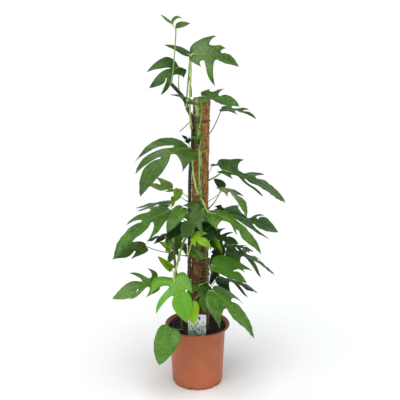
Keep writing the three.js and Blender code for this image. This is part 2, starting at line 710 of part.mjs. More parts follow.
// The petiole leaves its stem sideways, curves up to the blade and runs on under the midrib.
function petioleCurve(row, pose, run) {
  const [, , , , , from, height, rise, radius] = row;
  const base = pose.base;
  let start;
  let out;
  if (stemCurves[from]) {
    const stem = stemPoint(from, height);
    const away = stem.clone().sub(new THREE.Vector3(poleX(stem.z), 0, stem.z)).normalize();
    const towards = base.clone().sub(stem).setZ(0).normalize();
    out = towards.addScaledVector(away, 0.7).normalize();
    start = stem.addScaledVector(out, STEMS[from].radius + radius + 0.8);
  } else {
    const other = LEAVES.find(([name]) => name === from);
    start = vec(other[2]).addScaledVector(UP, -14);
    out = UP.clone();
  }
  const reach = base.distanceTo(start);
  const straight = base.clone().sub(start).normalize();
  const leave = straight.clone().addScaledVector(UP, 0.5 * rise).addScaledVector(out, 0.6).normalize();
  const arrive = straight.clone().addScaledVector(UP, rise).normalize();
  const bezierCurve = new THREE.CubicBezierCurve3(
    start,
    start.clone().addScaledVector(leave, 0.33 * reach),
    base.clone().addScaledVector(arrive, -0.33 * reach),
    base,
  );
  const points = bezierCurve.getPoints(PETIOLE.steps);
  points.push(run.addScaledVector(pose.up, -0.8));
  return new THREE.CatmullRomCurve3(points, false, "catmullrom", 0.5);
}

function leafSolid(row, seed) {
  const [, formName, base, tip, angles] = row;
  const [roll, droop, fold, arch] = angles.map((degrees) => degrees * RAD);
  const pose = bladePose(vec(base), vec(tip), roll, droop);
  const blade = flatBlade(FORMS[formName]);
  const points = blade.points.map((p) => bend(pose, p, droop, fold, arch, seed));
  const midribPoint = bend(pose, { x: 0.07, y: 0, lobe: -1, side: 1, flutter: 0 }, droop, fold, arch, seed);
  const petiole = tube(petioleCurve(row, pose, midribPoint), row[8], PETIOLE.sides, PETIOLE.steps + 1);
  return solidFrom(sheet(points, blade.faces, BLADE.thick)).add(solidFrom(petiole));
}

// ---- Assembly ----

function piece(name, geometry, colour, roughness) {
  const material = new THREE.MeshStandardMaterial({ color: COLOURS[colour], roughness, metalness: 0 });
  const mesh = new THREE.Mesh(geometry, material);
  mesh.name = name;
  return mesh;
}

const plant = new THREE.Group();
plant.add(piece("pot", potGeometry(), "pot", 0.6));
plant.add(piece("soil", soilGeometry(), "soil", 1));
plant.add(piece("coir_wrap", coirGeometry(), "coir", 1));
plant.add(piece("pole_core", coreGeometry(), "core", 0.8));
plant.add(piece("plant_card", cardGeometry(), "card", 0.5));
for (const name of Object.keys(STEMS)) {
  plant.add(piece("stem_" + name, stemGeometry(name), STEMS[name].colour, 0.6));
}
for (const name of Object.keys(TIES)) {
  plant.add(piece(name, tieGeometry(TIES[name]), "wire", 0.5));
}

// A leaf whose petiole starts on another leaf is one piece with it.
const leafSolids = new Map();
LEAVES.forEach((row, i) => {
  const solid = leafSolid(row, i + 1);
  const owner = leafSolids.has(row[5]) ? row[5] : row[0];
  leafSolids.set(owner, owner === row[0] ? solid : leafSolids.get(owner).add(solid));
});
for (const [name, solid] of leafSolids) {
  const colour = LEAVES.find((row) => row[0] === name)[9];
  plant.add(piece("leaf_" + name, geometryFrom(solid), colour, 0.45));
}

export default plant;
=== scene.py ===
"""The looks of a potted mini monstera on a coir pole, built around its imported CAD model.

Metres, +Z up, the front of the plant towards -Y. The stems and the leaf schedule are in millimetres,
as they are in the CAD source, and are turned into metres where they are used.
"""
import math
import random

import bpy
from mathutils import Matrix, Vector, noise


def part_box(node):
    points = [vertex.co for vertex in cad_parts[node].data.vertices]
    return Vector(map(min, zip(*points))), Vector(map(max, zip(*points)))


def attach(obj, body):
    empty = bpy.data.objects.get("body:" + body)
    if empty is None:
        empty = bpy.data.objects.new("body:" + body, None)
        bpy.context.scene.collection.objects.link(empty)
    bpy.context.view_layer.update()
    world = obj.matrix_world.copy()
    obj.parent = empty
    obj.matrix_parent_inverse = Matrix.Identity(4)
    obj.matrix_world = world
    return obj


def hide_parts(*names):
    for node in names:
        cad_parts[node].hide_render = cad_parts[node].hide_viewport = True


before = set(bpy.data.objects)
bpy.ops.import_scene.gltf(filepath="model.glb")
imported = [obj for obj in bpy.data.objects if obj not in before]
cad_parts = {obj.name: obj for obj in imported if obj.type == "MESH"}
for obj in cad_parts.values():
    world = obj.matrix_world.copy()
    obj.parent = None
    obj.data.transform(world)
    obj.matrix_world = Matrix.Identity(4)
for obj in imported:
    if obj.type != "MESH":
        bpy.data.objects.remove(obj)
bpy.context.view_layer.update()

# ---- Sizes taken from the frame ----
MM = 0.001
POT_HIGH = Vector(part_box("pot")[1])
SOIL_LOW, SOIL_HIGH = (Vector(corner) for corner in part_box("soil"))
COIR_LOW, COIR_HIGH = (Vector(corner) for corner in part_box("coir_wrap"))
CORE_LOW, CORE_HIGH = (Vector(corner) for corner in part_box("pole_core"))
CARD_LOW, CARD_HIGH = (Vector(corner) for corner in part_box("plant_card"))
RIM_R = POT_HIGH.x
POT_HEIGHT = POT_HIGH.z
BASE_R = RIM_R * 104 / 135
POLE_R = (COIR_HIGH.y - COIR_LOW.y) / 2
POLE_LEAN = (COIR_HIGH.x - COIR_LOW.x - 2 * POLE_R) / (COIR_HIGH.z - COIR_LOW.z)
CORE_R = (CORE_HIGH.y - CORE_LOW.y) / 2
UP = Vector((0, 0, 1))
NOTCH_COUNT = 6  # drain notches in the pot's foot
FIRST_NOTCH = math.radians(-191)  # where the first one is, as a turn about the axis
OLD_WOOD_TOP = 0.72  # below this height the stems have long old roots

# ---- Camera and surround ----
CAMERA_PLACE = Vector((0.011, -2.8, 1.5))
CAMERA_DOWN = math.radians(14.26)
CAMERA_LENS = 64.8
SKY_COLOUR = (0.95, 0.985, 1, 1)
HORIZON_STRENGTH = 1.08
SKY_STRENGTH = 0.5

# ---- Stems: radius, material and the points each one climbs through, in mm ----
STEMS = {
    "left": (7.5, "stem_dark", [
        (-38, -22, 212), (-35, -21, 400), (-32, -22, 600), (-30, -25, 800), (-28, -27, 905),
        (-19, -31, 1005), (-18, -31, 1110), (-36, -28, 1155), (-48, -36, 1192), (-64, -48, 1217),
        (-100, -86, 1262),
    ]),
    "front": (7.5, "stem_light", [
        (42, -34, 212), (40, -34, 400), (40, -36, 520), (28, -44, 650), (13, -48, 800),
        (10, -48, 1000), (2, -48, 1120), (0, -48, 1205),
    ]),
    "right": (4.5, "stem_dark", [
        (46, 14, 212), (42, 28, 400), (36, 34, 600), (34, 36, 800), (34, 38, 960), (32, 42, 1065),
    ]),
    "back": (4.5, "stem_dark", [
        (-8, 44, 212), (0, 43, 500), (6, 43, 800), (10, 44, 1100),
    ]),
    "shoot": (5.5, "stem_light", [
        (-60, -45, 212), (-62, -47, 262), (-76, -60, 400), (-86, -64, 510), (-94, -62, 600),
        (-96, -60, 655),
    ]),
    "dry": (2.4, "stem_dry", [
        (-22, -14, 1201.8), (-24, -14, 1240), (-34, -18, 1292),
    ]),
}

# ---- Blade forms, in blade lengths ----
# name: half width of the end lobe, how far the first lobe swings out at its base, then the lobes of
# the left and of the right side from the base, each (tip x, tip y, sinus x, sinus y).
FORMS = {
    "trident": (
        0.1, 0.6, [(0.48, 0.24, 0.41, 0.01)],
        [(0.71, 0.23, 0.3, 0.05), (0.82, 0.16, 0.52, 0.03)],
    ),
    "claw": (0.2, 1.6, [(0.45, 0.26, 0.36, 0.13)], [(0.2, 0.57, 0.16, 0.16), (0.64, 0.57, 0.4, 0.14)]),
    "antler": (
        0.2, 1.2, [(0.3, 0.43, 0.27, 0.07), (0.64, 0.34, 0.5, 0.11)],
        [(0.14, 0.16, 0.17, 0.05), (0.57, 0.3, 0.32, 0.05)],
    ),
    "stag": (0.14, 1, [(0.34, 0.51, 0.28, 0.09), (0.77, 0.35, 0.59, 0.07)], [(0.54, 0.5, 0.44, 0.12)]),
    "lance": (0.16, 1, [(0.52, 0.46, 0.34, 0.09)], [(0.51, 0.46, 0.37, 0.1)]),
    "sword": (
        0.15, 0.35, [(0.55, 0.34, 0.32, 0.05)],
        [(0.36, 0.38, 0.24, 0.16), (0.6, 0.26, 0.42, 0.06)],
    ),
    "mitt": (0.21, 0.3, [(0.36, 0.35, 0.44, 0.02), (0.78, 0.28, 0.62, 0.08)], [(0.72, 0.42, 0.52, 0.1)]),
    "blade": (0.09, 0.5, [(0.62, 0.16, 0.42, 0.08)], [(0.32, 0.3, 0.34, 0.06), (0.56, 0.13, 0.54, 0.06)]),
    "spear": (0.14, 0.9, [(0.55, 0.24, 0.36, 0.06)], [(0.42, 0.34, 0.46, 0.22)]),
    "palm": (0.14, 1.5, [(0.12, 0.32, 0.28, 0.12), (0.9, 0.32, 0.5, 0.06)], [(0.76, 0.37, 0.24, 0.07)]),
    "crown": (
        0.11, 0.7, [(0.5, 0.5, 0.36, 0.22), (0.68, 0.27, 0.58, 0.1)],
        [(0.2, 0.28, 0.22, 0.12), (0.48, 0.6, 0.48, 0.07)],
    ),
    "fringe": (0.26, 1, [(0.08, 0.46, 0.14, 0.28), (0.42, 0.52, 0.44, 0.1)], [(0.3, 0.4, 0.36, 0.14)]),
    "fan": (
        0.17, 1, [(0.36, 0.28, 0.22, 0.06), (0.68, 0.17, 0.44, 0.03)],
        [(0.06, 0.38, 0.1, 0.12), (0.46, 0.4, 0.3, 0.1)],
    ),
    "wing": (0.12, 1, [(0.3, 0.14, 0.2, 0.05)], [(0.62, 0.42, 0.45, 0.12)]),
    "hand": (
        0.15, 1, [(0.36, 0.52, 0.3, 0.12), (0.7, 0.38, 0.53, 0.1)],
        [(0.33, 0.5, 0.27, 0.11), (0.64, 0.4, 0.47, 0.09)],
    ),
    "broad": (
        0.2, 1, [(0.32, 0.5, 0.36, 0.24), (0.66, 0.42, 0.6, 0.14)],
        [(0.3, 0.52, 0.32, 0.22), (0.66, 0.38, 0.56, 0.14)],
    ),
    "fingers": (
        0.12, 1, [(0.26, 0.46, 0.21, 0.1), (0.54, 0.46, 0.41, 0.09), (0.8, 0.3, 0.61, 0.07)],
        [(0.32, 0.5, 0.28, 0.1), (0.66, 0.4, 0.5, 0.08)],
    ),
    "young": (0.17, 1, [(0.52, 0.42, 0.4, 0.12)], [(0.44, 0.36, 0.34, 0.12)]),
    "paddle": (0.13, 0.9, [(1.1, 0.42, 0.58, 0.09)], []),
    "entire": (0.31, 1, [], []),
    "oval": (0.2, 1, [], []),
    "bud": (0.12, 1, [], []),
}

# ---- Leaves ----
# name, form, base of the blade and its tip in mm, (roll, droop, fold, arch) in degrees, where the
# petiole starts (a stem and a height on it, or another leaf), how steeply the petiole rises into
# the blade, petiole radius, colour.
LEAVES = [
    ("top", "oval", (-76, -100, 1468), (-25, -115, 1478), (60, 5, 10, 0), "left", 1260, 0.9, 2.6, "pale"),
    ("top_bud", "bud", (-96, -104, 1480), (-131, -120, 1510), (-60, -15, 10, 0),
     "top", 0.8, 0.6, 1.2, "pale"),
    ("top_arch", "oval", (-88, -98, 1474), (-52, -90, 1490), (20, 165, 10, 0),
     "top", 0.8, 0.6, 1.2, "pale"),
    ("crown_right", "crown", (-22, -70, 1362), (160, -20, 1316), (50, 60, 10, 20),
     "left", 1085, 0.9, 4.2, "mid"),
    ("crown_left", "bud", (-27, -50, 1360), (-125, -10, 1398), (-30, 20, 10, 10),
     "left", 1165, 0.9, 3.4, "dark"),
    ("upper_left", "palm", (-70, 0, 1315), (-181, -70, 1240), (-50, 30, 0, 10),
     "left", 1200, 0.6, 2.4, "dark"),
    ("upper_right", "fringe", (18, -60, 1208), (158, -110, 1176), (20, 30, 5, 0),
     "front", 1090, 0.5, 2.2, "light"),
    ("slim_right", "stag", (98, 40, 1150), (232, 10, 1112), (6, 45, 5, 10),
     "right", 1040, 0.1, 2.2, "dark"),
    ("slim_left", "lance", (-5, -130, 1195), (-100, -150, 1225), (-10, 20, 5, 30),
     "front", 1135, 0.5, 3, "dark"),
    ("big_left", "trident", (-22, -60, 1006), (-213, -190, 848), (-35, 140, 0, 0),
     "front", 830, 0.7, 3.6, "light"),
    ("curl", "young", (7, -68, 1030), (-25, -80, 1060), (-50, 50, 30, 0), "front", 860, 0.4, 2.8, "light"),
    ("curl_roll", "young", (8, -68, 1028), (26, -74, 1073), (60, 80, 30, 0),
     "curl", 0.8, 0.6, 1.4, "light"),
    ("tuck", "young", (-32, 18, 1020), (-62, 20, 1048), (-60, 40, 30, 0), "left", 1000, 0.6, 1.6, "deep"),
    ("under", "wing", (-98, -30, 842), (-203, 10, 853), (-110, 20, 10, 10), "left", 790, 0.3, 1.8, "pale"),
    ("twist", "entire", (-72, -58, 848), (-84, -66, 800), (-60, 30, 20, 0), "left", 810, 0.3, 1.6, "lime"),
    ("twist_tip", "oval", (-93, -62, 818), (-98, -66, 776), (-60, 30, 20, 0),
     "twist", 0.4, 0.4, 1.2, "lime"),
    ("big_right", "antler", (100, -40, 918), (355, -5, 778), (20, 40, 0, 0),
     "right", 860, 0.3, 3.2, "dark"),
    ("behind", "young", (60, 60, 915), (105, 90, 920), (0, 10, 10, 20), "right", 880, 0.5, 1.6, "dark"),
    ("hidden_right", "entire", (110, 30, 830), (65, 20, 870), (-50, 20, 5, 20),
     "right", 770, 0.3, 1.8, "deep"),
    ("arching", "young", (95, -45, 850), (190, -130, 748), (-15, 75, 0, 0), "right", 740, 0.6, 2.8, "pale"),
    ("dark_right", "mitt", (100, 20, 738), (340, 80, 630), (16, 15, 5, 0), "right", 640, 0.5, 3, "deep"),
    ("light_right", "blade", (42, -106, 768), (246, -180, 618), (18, 65, 0, 10),
     "front", 810, 0.2, 3.2, "mid"),
    ("centre", "broad", (26, -76, 773), (-58, -124, 668), (-40, 50, 10, 10), "front", 730, 0.7, 2.6, "mid"),
    ("centre_left", "oval", (-55, -120, 790), (-115, -185, 706), (-25, 50, 0, 20),
     "left", 740, 0.5, 2.4, "light"),
    ("under_centre", "entire", (-65, -60, 715), (-115, -110, 655), (-20, 30, 0, 20),
     "left", 690, 0.3, 2, "deep"),
    ("slim_back_left", "stag", (-115, 55, 755), (-260, 105, 725), (-3, 25, 5, 20),
     "left", 700, 0.5, 1.8, "dark"),
    ("light_left", "sword", (-105, -70, 765), (-325, -140, 595), (-20, 55, 0, 10),
     "left", 720, 0.5, 2.4, "light"),
    ("low_left", "spear", (-205, -60, 612), (-335, -110, 575), (-30, 30, 0, 10),
     "left", 560, 0.2, 1.8, "mid"),
    ("bottom_left", "fan", (-165, -85, 470), (-335, -150, 425), (-40, 35, 5, 10),
     "shoot", 445, 0.5, 2.8, "mid"),
    ("front_left", "claw", (-92, -130, 506), (-40, -200, 345), (20, 60, 0, 10), "left", 650, 0, 5, "light"),
    ("front_lime", "entire", (-30, -120, 400), (-12, -165, 325), (30, 30, 5, 40),
     "left", 330, 0.6, 2, "lime"),
    ("heart", "entire", (-104, -170, 310), (-150, -215, 172), (-10, 30, 5, 30),
     "shoot", 250, 1.2, 1.8, "light"),
    ("front_right", "lance", (59, -135, 454), (224, -200, 279), (5, 35, 0, 20),
     "front", 395, 0.4, 2.4, "light"),
    ("front_centre", "hand", (5, -62, 450), (30, -115, 350), (0, 60, 0, 20), "front", 455, 0.4, 2, "mid"),
    ("middle_right", "paddle", (54, -132, 560), (197, -110, 476), (44, 25, 5, 20),
     "front", 480, 0.4, 2, "dark"),
    ("fan_right", "fingers", (125, 20, 573), (325, 45, 452), (10, 35, 0, 20),
     "right", 520, 0.4, 2.4, "dark"),
    ("low_right", "fingers", (82, 16, 450), (257, 54, 367), (6, 35, 0, 35), "right", 400, 0.5, 2, "deep"),
    ("inner_right", "hand", (60, -30, 645), (165, -60, 625), (40, 30, 0, 20),
     "right", 580, 0.4, 1.8, "deep"),
    ("lime_front", "young", (-15, -120, 675), (55, -160, 640), (50, 45, 5, 20),
     "left", 560, 0.5, 2.4, "lime"),
    ("lime_right", "oval", (55, -80, 655), (97, -110, 598), (25, 20, 55, 0),
     "front", 620, 0.4, 1.6, "lime"),
    ("pale_upper", "entire", (-25, -40, 620), (15, -90, 615), (60, 20, 20, 0),
     "front", 570, 0.4, 1.6, "pale"),
    ("pale_lower", "entire", (-15, -60, 595), (25, -90, 565), (60, 30, 30, 0),
     "front", 560, 0.4, 1.6, "pale"),
    ("lime_left", "young", (-105, -95, 610), (-150, -120, 650), (-60, 30, 20, 0),
     "shoot", 600, 0.4, 1.8, "lime"),
    ("lime_lower", "oval", (-100, -100, 535), (-155, -120, 592), (-95, 40, 40, 0),
     "shoot", 500, 0.4, 1.8, "lime"),
    ("inner_left", "hand", (-70, 25, 605), (-120, -5, 520), (-30, 30, 0, 20), "left", 560, 0.4, 2, "mid"),
    ("dark_left", "young", (-130, 10, 635), (-210, 40, 605), (-15, 20, 0, 30),
     "left", 610, 0.4, 1.8, "deep"),
    ("back_middle", "hand", (-5, 90, 655), (70, 130, 580), (20, 20, 0, 20), "back", 640, 0.4, 2, "deep"),
    ("back_low", "hand", (60, 114, 458), (125, 146, 347), (20, 30, 0, 20), "back", 450, 0.4, 2, "deep"),
    ("back_bottom", "entire", (25, 60, 355), (50, 60, 280), (0, 30, 0, 20), "back", 330, 0.4, 1.8, "deep"),
    ("inner_top", "entire", (68, -76, 706), (-26, -98, 646), (-50, 30, 0, 20),
     "inner_right", 0.5, 0.5, 1.8, "deep"),
    ("behind_mid", "broad", (48, 102, 606), (98, 112, 492), (10, 30, 0, 20),
     "back_middle", 0.5, 0.5, 1.8, "deep"),
    ("behind_low", "entire", (58, 116, 500), (84, 130, 396), (0, 30, 0, 20),
     "back_low", 0.5, 0.5, 1.8, "deep"),
    ("inner_low", "broad", (98, 0, 598), (56, 8, 508), (-40, 30, 0, 20),
     "inner_right", 0.5, 0.5, 1.8, "deep"),
    ("low_inner", "entire", (76, 0, 492), (52, 10, 420), (-40, 30, 0, 20),
     "low_right", 0.5, 0.5, 1.8, "deep"),
    ("inner_side", "entire", (-74, -4, 664), (-126, -28, 586), (-40, 30, 0, 20),
     "inner_left", 0.5, 0.5, 1.8, "mid"),
    ("fan_upper", "fingers", (123, 45, 584), (236, 60, 549), (10, 30, 0, 20),
     "fan_right", 0.5, 0.5, 1.8, "dark"),
    ("dark_inner", "young", (101, 35, 750), (55, 30, 712), (-50, 30, 0, 20),
     "dark_right", 0.5, 0.5, 1.8, "deep"),
]

# ---- Colours: sRGB from 0 to 255 ----
LEAF_COLOURS = {
    # The darkest leaf colour goes to the leaves inside and at the back of the foliage: partly their own dark
    # green and partly painted shade.
    "deep": (34, 72, 18),
    "dark": (54, 98, 20),
    "mid": (72, 114, 26),
    "light": (74, 124, 24),
    "pale": (98, 134, 42),
    "lime": (126, 172, 4),
}
# How bright a leaf is within its colour, from 0 to 1, set to how bright each leaf looks where it hangs:
# partly the leaf's own colour and partly painted light and shade, with a painted highlight on the brightest;
# the others have the usual tone.
USUAL_TONE = 0.4
LEAF_TONES = {
    "front_left": 1.0, "front_right": 0.6, "heart": 0.6, "bottom_left": 0.72, "big_left": 0.1,
    "crown_left": 0.48, "crown_right": 0.44, "light_left": 0.48, "light_right": 0.6, "centre": 0.32,
    "centre_left": 0.52, "front_lime": 0.8, "lime_front": 0.72, "big_right": 0.4, "middle_right": 0.8,
    "front_centre": 0.32, "under_centre": 0.16, "dark_left": 0.24, "top": 0.48, "upper_left": 0.32,
    "dark_right": 1.0,
}
PETIOLE_TINT = (220, 232, 150)
# Petioles that are older or duller than their leaf's class.
PETIOLE_COLOURS = {"slim_right": (58, 60, 46), "low_left": (78, 64, 44), "top": (126, 142, 82)}
OLD_WOOD_COLOUR = (76, 52, 34)
STEM_COLOURS = {"stem_dark": (58, 62, 36), "stem_light": (128, 164, 78), "stem_dry": (96, 66, 42)}
POT_COLOUR = (178, 97, 59)
POT_INSIDE_COLOUR = (70, 44, 32)
COIR_COLOUR = (170, 124, 66)
CORE_COLOUR = (104, 70, 44)
SOIL_COLOUR = (32, 19, 12)
BARK_CHIP_COLOUR = (96, 70, 48)
CARD_COLOUR = (240, 242, 240)
WIRE_COLOUR = (36, 34, 30)


def linear(rgb):
    """An sRGB colour from 0 to 255 as linear red, green, blue and alpha."""
    channels = [c / 255 for c in rgb]
    return tuple(c / 12.92 if c < 0.04045 else ((c + 0.055) / 1.055) ** 2.4 for c in channels) + (1.0,)


def shade(rgb, factor):
    """A darker or lighter version of a colour."""
    return tuple(min(255, c * factor) for c in rgb)


def blend_rgb(a, b, share):
    return tuple(x + (y - x) * share for x, y in zip(a, b))


# ---- Node helpers ----

class Nodes:
    """A short way to build a material's node tree."""

    def __init__(self, name):
        self.material = bpy.data.materials.new(name)
        self.material.use_nodes = True
        self.tree = self.material.node_tree
        self.shader = self.tree.nodes["Principled BSDF"]
        self.output = self.tree.nodes["Material Output"]

    def add(self, kind, **values):
        node = self.tree.nodes.new("ShaderNode" + kind)
        for key, value in values.items():
            setattr(node, key, value)
        return node

    def link(self, source, target):
        if isinstance(source, (int, float, tuple)):
            target.default_value = source
        else:
            self.tree.links.new(source, target)

    def math(self, operation, *inputs, clamp=False):
        node = self.add("Math", operation=operation, use_clamp=clamp)
        for value, socket in zip(inputs, node.inputs):
            self.link(value, socket)
        return node.outputs[0]

    def times(self, a, b):
        return self.math("MULTIPLY", a, b)

    def plus(self, a, b):
        return self.math("ADD", a, b)

    def minus(self, a, b):
        return self.math("SUBTRACT", a, b)

    def apart(self, a, b):
        """How far apart two values are."""
        return self.math("ABSOLUTE", self.minus(a, b))

    def line(self, distance, width):
        """A soft line: 1 where the distance is 0, down to 0 where it reaches the width."""
        return self.math("SUBTRACT", 1.0, self.math("DIVIDE", distance, width), clamp=True)

    def smooth(self, value, start, end, low=0.0, high=1.0):
        """A smooth step of value from low at start to high at end."""
        node = self.add("MapRange", interpolation_type="SMOOTHSTEP")
        keys = ("Value", "From Min", "From Max", "To Min", "To Max")
        for key, entry in zip(keys, (value, start, end, low, high)):
            self.link(entry, node.inputs[key])
        return node.outputs["Result"]

    def mix(self, share, a, b):
        node = self.add("Mix", data_type="RGBA")
        self.link(share, node.inputs["Factor"])
        self.link(a, node.inputs[6])
        self.link(b, node.inputs[7])
        return node.outputs[2]

    def shades(self, rgb, low, high, value, start, end):
        """Two shades of one colour, from low to high as value goes from start to end."""
        return self.mix(self.smooth(value, start, end), linear(shade(rgb, low)), linear(shade(rgb, high)))

    def tint(self, colour, rgb, value, start, end, share):
        """The colour, turned towards rgb by up to share as value goes from start to end."""
        return self.mix(self.smooth(value, start, end, 0.0, share), colour, linear(rgb))

    def noise(self, scale, detail, rough, place=None, stretch=None):
        node = self.add("TexNoise")
        node.inputs["Scale"].default_value = scale
        node.inputs["Detail"].default_value = detail
        node.inputs["Roughness"].default_value = rough
        source = place or self.place()
        if stretch:
            mapping = self.add("Mapping")
            mapping.inputs["Scale"].default_value = stretch
            self.link(source, mapping.inputs["Vector"])
            source = mapping.outputs["Vector"]
        self.link(source, node.inputs["Vector"])
        return node.outputs["Fac"]

    def place(self):
        return self.add("TexCoord").outputs["Object"]

    def height(self):
        split = self.add("SeparateXYZ")
        self.link(self.place(), split.inputs[0])
        return split.outputs["Z"]

    def uv(self, name):
        node = self.add("UVMap", uv_map=name)
        split = self.add("SeparateXYZ")
        self.link(node.outputs["UV"], split.inputs[0])
        return split.outputs["X"], split.outputs["Y"], node.outputs["UV"]

    def red(self, colour):
        split = self.add("SeparateColor")
        self.link(colour, split.inputs[0])
        return split.outputs["Red"]

    def bump(self, height, strength, distance):
        node = self.add("Bump")
        node.inputs["Strength"].default_value = strength
        node.inputs["Distance"].default_value = distance
        self.link(height, node.inputs["Height"])
        self.link(node.outputs["Normal"], self.shader.inputs["Normal"])

    def set(self, **values):
        """Sets shader sockets: underscores stand for spaces in a socket's name."""
        for key, value in values.items():
            self.link(value, self.shader.inputs[key.replace("_", " ")])

    def let_light_through(self, colour, share):
        """Mixes a translucent layer into the surface."""
        glow = self.add("BsdfTranslucent")
        self.link(colour, glow.inputs["Color"])
        mixer = self.add("MixShader")
        mixer.inputs["Fac"].default_value = share
        self.link(self.shader.outputs[0], mixer.inputs[1])
        self.link(glow.outputs[0], mixer.inputs[2])
        self.link(mixer.outputs[0], self.output.inputs["Surface"])


# ---- Materials ----

def leaf_material(name, rgb, under=False):
    """A leathery blade: pale midrib and side veins, darker mottling, and quilting between veins, with
    painted shade in its troughs and a painted sheen on its crests.
    """
    young = rgb[0] > 100
    body = blend_rgb(rgb, (150, 170, 120), 0.28) if under else rgb
    vein = blend_rgb(body, (190, 210, 120), 0.55 if young else 0.42)
    n = Nodes(name)
    along, across, blade_uv = n.uv("blade")
    out, lane, _ = n.uv("lobe")
    from_midrib = n.apart(across, 0.5)
    midrib = n.line(from_midrib, n.smooth(along, 0.0, 1.0, 0.016, 0.003))
    side = n.line(n.apart(lane, 0.5), n.smooth(out, 0.0, 1.0, 0.07, 0.03))
    side = n.times(side, n.smooth(out, 0.95, 0.6))
    veins = n.math("MAXIMUM", midrib, n.times(side, 0.35))
    ripple = n.math("SINE", n.times(n.minus(along, n.times(from_midrib, 0.8)), 95.0))
    mottle = n.noise(34.0, 4.0, 0.6)
    patches = n.noise(9.0, 2.0, 0.5)
    quilt = n.noise(1.0, 3.0, 0.6, place=blade_uv, stretch=(30.0, 8.0, 1.0))
    tone = n.red(n.add("Attribute", attribute_name="tone").outputs["Color"])
    colour = n.shades(body, 0.82, 1.14, mottle, 0.35, 0.7)
    colour = n.tint(colour, blend_rgb(body, (150, 180, 40), 0.35), patches, 0.5, 0.75, 0.55)
    colour = n.tint(colour, shade(body, 0.6), patches, 0.5, 0.28, 0.8)
    # Painted shade and painted highlight: the ripple stripes and the quilt pattern darken parts of the blade
    # and lighten others with a pale sheen, standing in for how the quilted surface is lit.
    colour = n.tint(colour, shade(body, 0.72), ripple, 0.2, 1.0, 0.3)
    colour = n.tint(colour, shade(body, 0.6), quilt, 0.5, 0.34, 0.35)
    colour = n.tint(colour, blend_rgb(shade(body, 1.3), (190, 210, 150), 0.12), quilt, 0.5, 0.66, 0.3)
    # Painted light and shade: a leaf's tone darkens it, or brightens it towards a lit yellow-green, along
    # with giving its own lightness.
    colour = n.tint(colour, shade(body, 0.62), tone, 0.5, 0.0, 0.6)
    colour = n.tint(colour, blend_rgb(shade(body, 1.55), (170, 200, 60), 0.12), tone, 0.5, 1.0, 0.6)
    colour = n.mix(n.times(veins, 0.55), colour, linear(vein))
    rough = n.smooth(mottle, 0.3, 0.75, 0.5 if under else 0.34, 0.62 if under else 0.48)
    n.set(Base_Color=colour, Roughness=rough, Specular_IOR_Level=0.25 if rgb[1] < 100 else 0.45)
    relief = n.plus(n.times(ripple, 0.12), n.times(quilt, 0.9))
    n.bump(n.plus(n.times(veins, 1.0 if under else -1.0), relief), 0.6, 0.0016)
    n.let_light_through(colour, 0.22 if young else 0.12)
    return n.material


def stalk_material(name, rgb):
    """A smooth green stalk with fine streaks along it and a few darker flecks."""
    n = Nodes(name)
    streaks = n.noise(60.0, 3.0, 0.6, stretch=(1.0, 1.0, 0.12))
    flecks = n.noise(240.0, 2.0, 0.5)
    colour = n.shades(rgb, 0.8, 1.14, streaks, 0.35, 0.7)
    colour = n.tint(colour, shade(rgb, 0.5), flecks, 0.62, 0.74, 0.5)
    n.set(Base_Color=colour, Roughness=n.smooth(streaks, 0.3, 0.7, 0.42, 0.57))
    n.bump(streaks, 0.25, 0.0006)
    return n.material


def bark_material(name, rgb):
    """An old stem: green-brown with corky patches and streaks, and brown near the soil."""
    n = Nodes(name)
    patches = n.noise(26.0, 4.0, 0.65)
    streaks = n.noise(120.0, 3.0, 0.6, stretch=(1.0, 1.0, 0.2))
    colour = n.shades(rgb, 0.55, 1.2, patches, 0.38, 0.66)
    colour = n.tint(colour, blend_rgb(rgb, (120, 90, 60), 0.6), streaks, 0.5, 0.75, 0.5)
    colour = n.tint(colour, OLD_WOOD_COLOUR, n.height(), 0.7, 0.5, 0.8)
    n.set(Base_Color=colour, Roughness=n.smooth(patches, 0.3, 0.7, 0.5, 0.75))
    n.bump(n.plus(patches, streaks), 0.5, 0.0015)
    return n.material


def pot_material(name, rgb):
    """Injection-moulded terracotta-coloured plastic: faint flow marks, scuffs, darker towards the foot, and
    painted shade towards the rim.
    """
    n = Nodes(name)
    height = n.height()
    cloud = n.noise(7.0, 3.0, 0.5)
    grain = n.noise(420.0, 2.0, 0.6)
    scuffs = n.noise(30.0, 6.0, 0.7, stretch=(0.3, 0.3, 2.2))
    colour = n.shades(rgb, 0.94, 1.04, cloud, 0.35, 0.65)
    # Darker towards the foot.
    colour = n.tint(colour, shade(rgb, 0.9), height, 0.03, 0.004, 0.45)
    # Painted shade: darker over the top of the pot towards the rim.
    colour = n.tint(colour, shade(rgb, 0.76), height, POT_HEIGHT - 0.02, POT_HEIGHT, 0.4)
    colour = n.tint(colour, shade(rgb, 1.16), scuffs, 0.62, 0.78, 0.3)
    n.set(Base_Color=colour, Roughness=n.smooth(scuffs, 0.35, 0.75, 0.42, 0.6), Specular_IOR_Level=0.4)
    n.bump(n.plus(n.times(grain, 0.4), n.times(scuffs, 0.3)), 0.2, 0.0006)
    return n.material


def soil_material(name, rgb):
    """Moist peat and bark: near-black crumbs with brown and a few pale flecks."""
    n = Nodes(name)
    crumbs = n.add("TexVoronoi")
    crumbs.inputs["Scale"].default_value = 190.0
    n.link(n.place(), crumbs.inputs["Vector"])
    pick = n.red(crumbs.outputs["Color"])
    darkening = n.noise(22.0, 4.0, 0.6)
    colour = n.shades(rgb, 0.55, 1.7, pick, 0.2, 0.9)
    colour = n.tint(colour, (150, 124, 92), pick, 0.93, 0.97, 0.8)
    colour = n.tint(colour, shade(rgb, 0.5), darkening, 0.45, 0.7, 0.6)
    n.set(Base_Color=colour, Roughness=n.smooth(darkening, 0.4, 0.7, 0.95, 0.7))
    n.bump(n.plus(crumbs.outputs["Distance"], darkening), 0.8, 0.003)
    return n.material


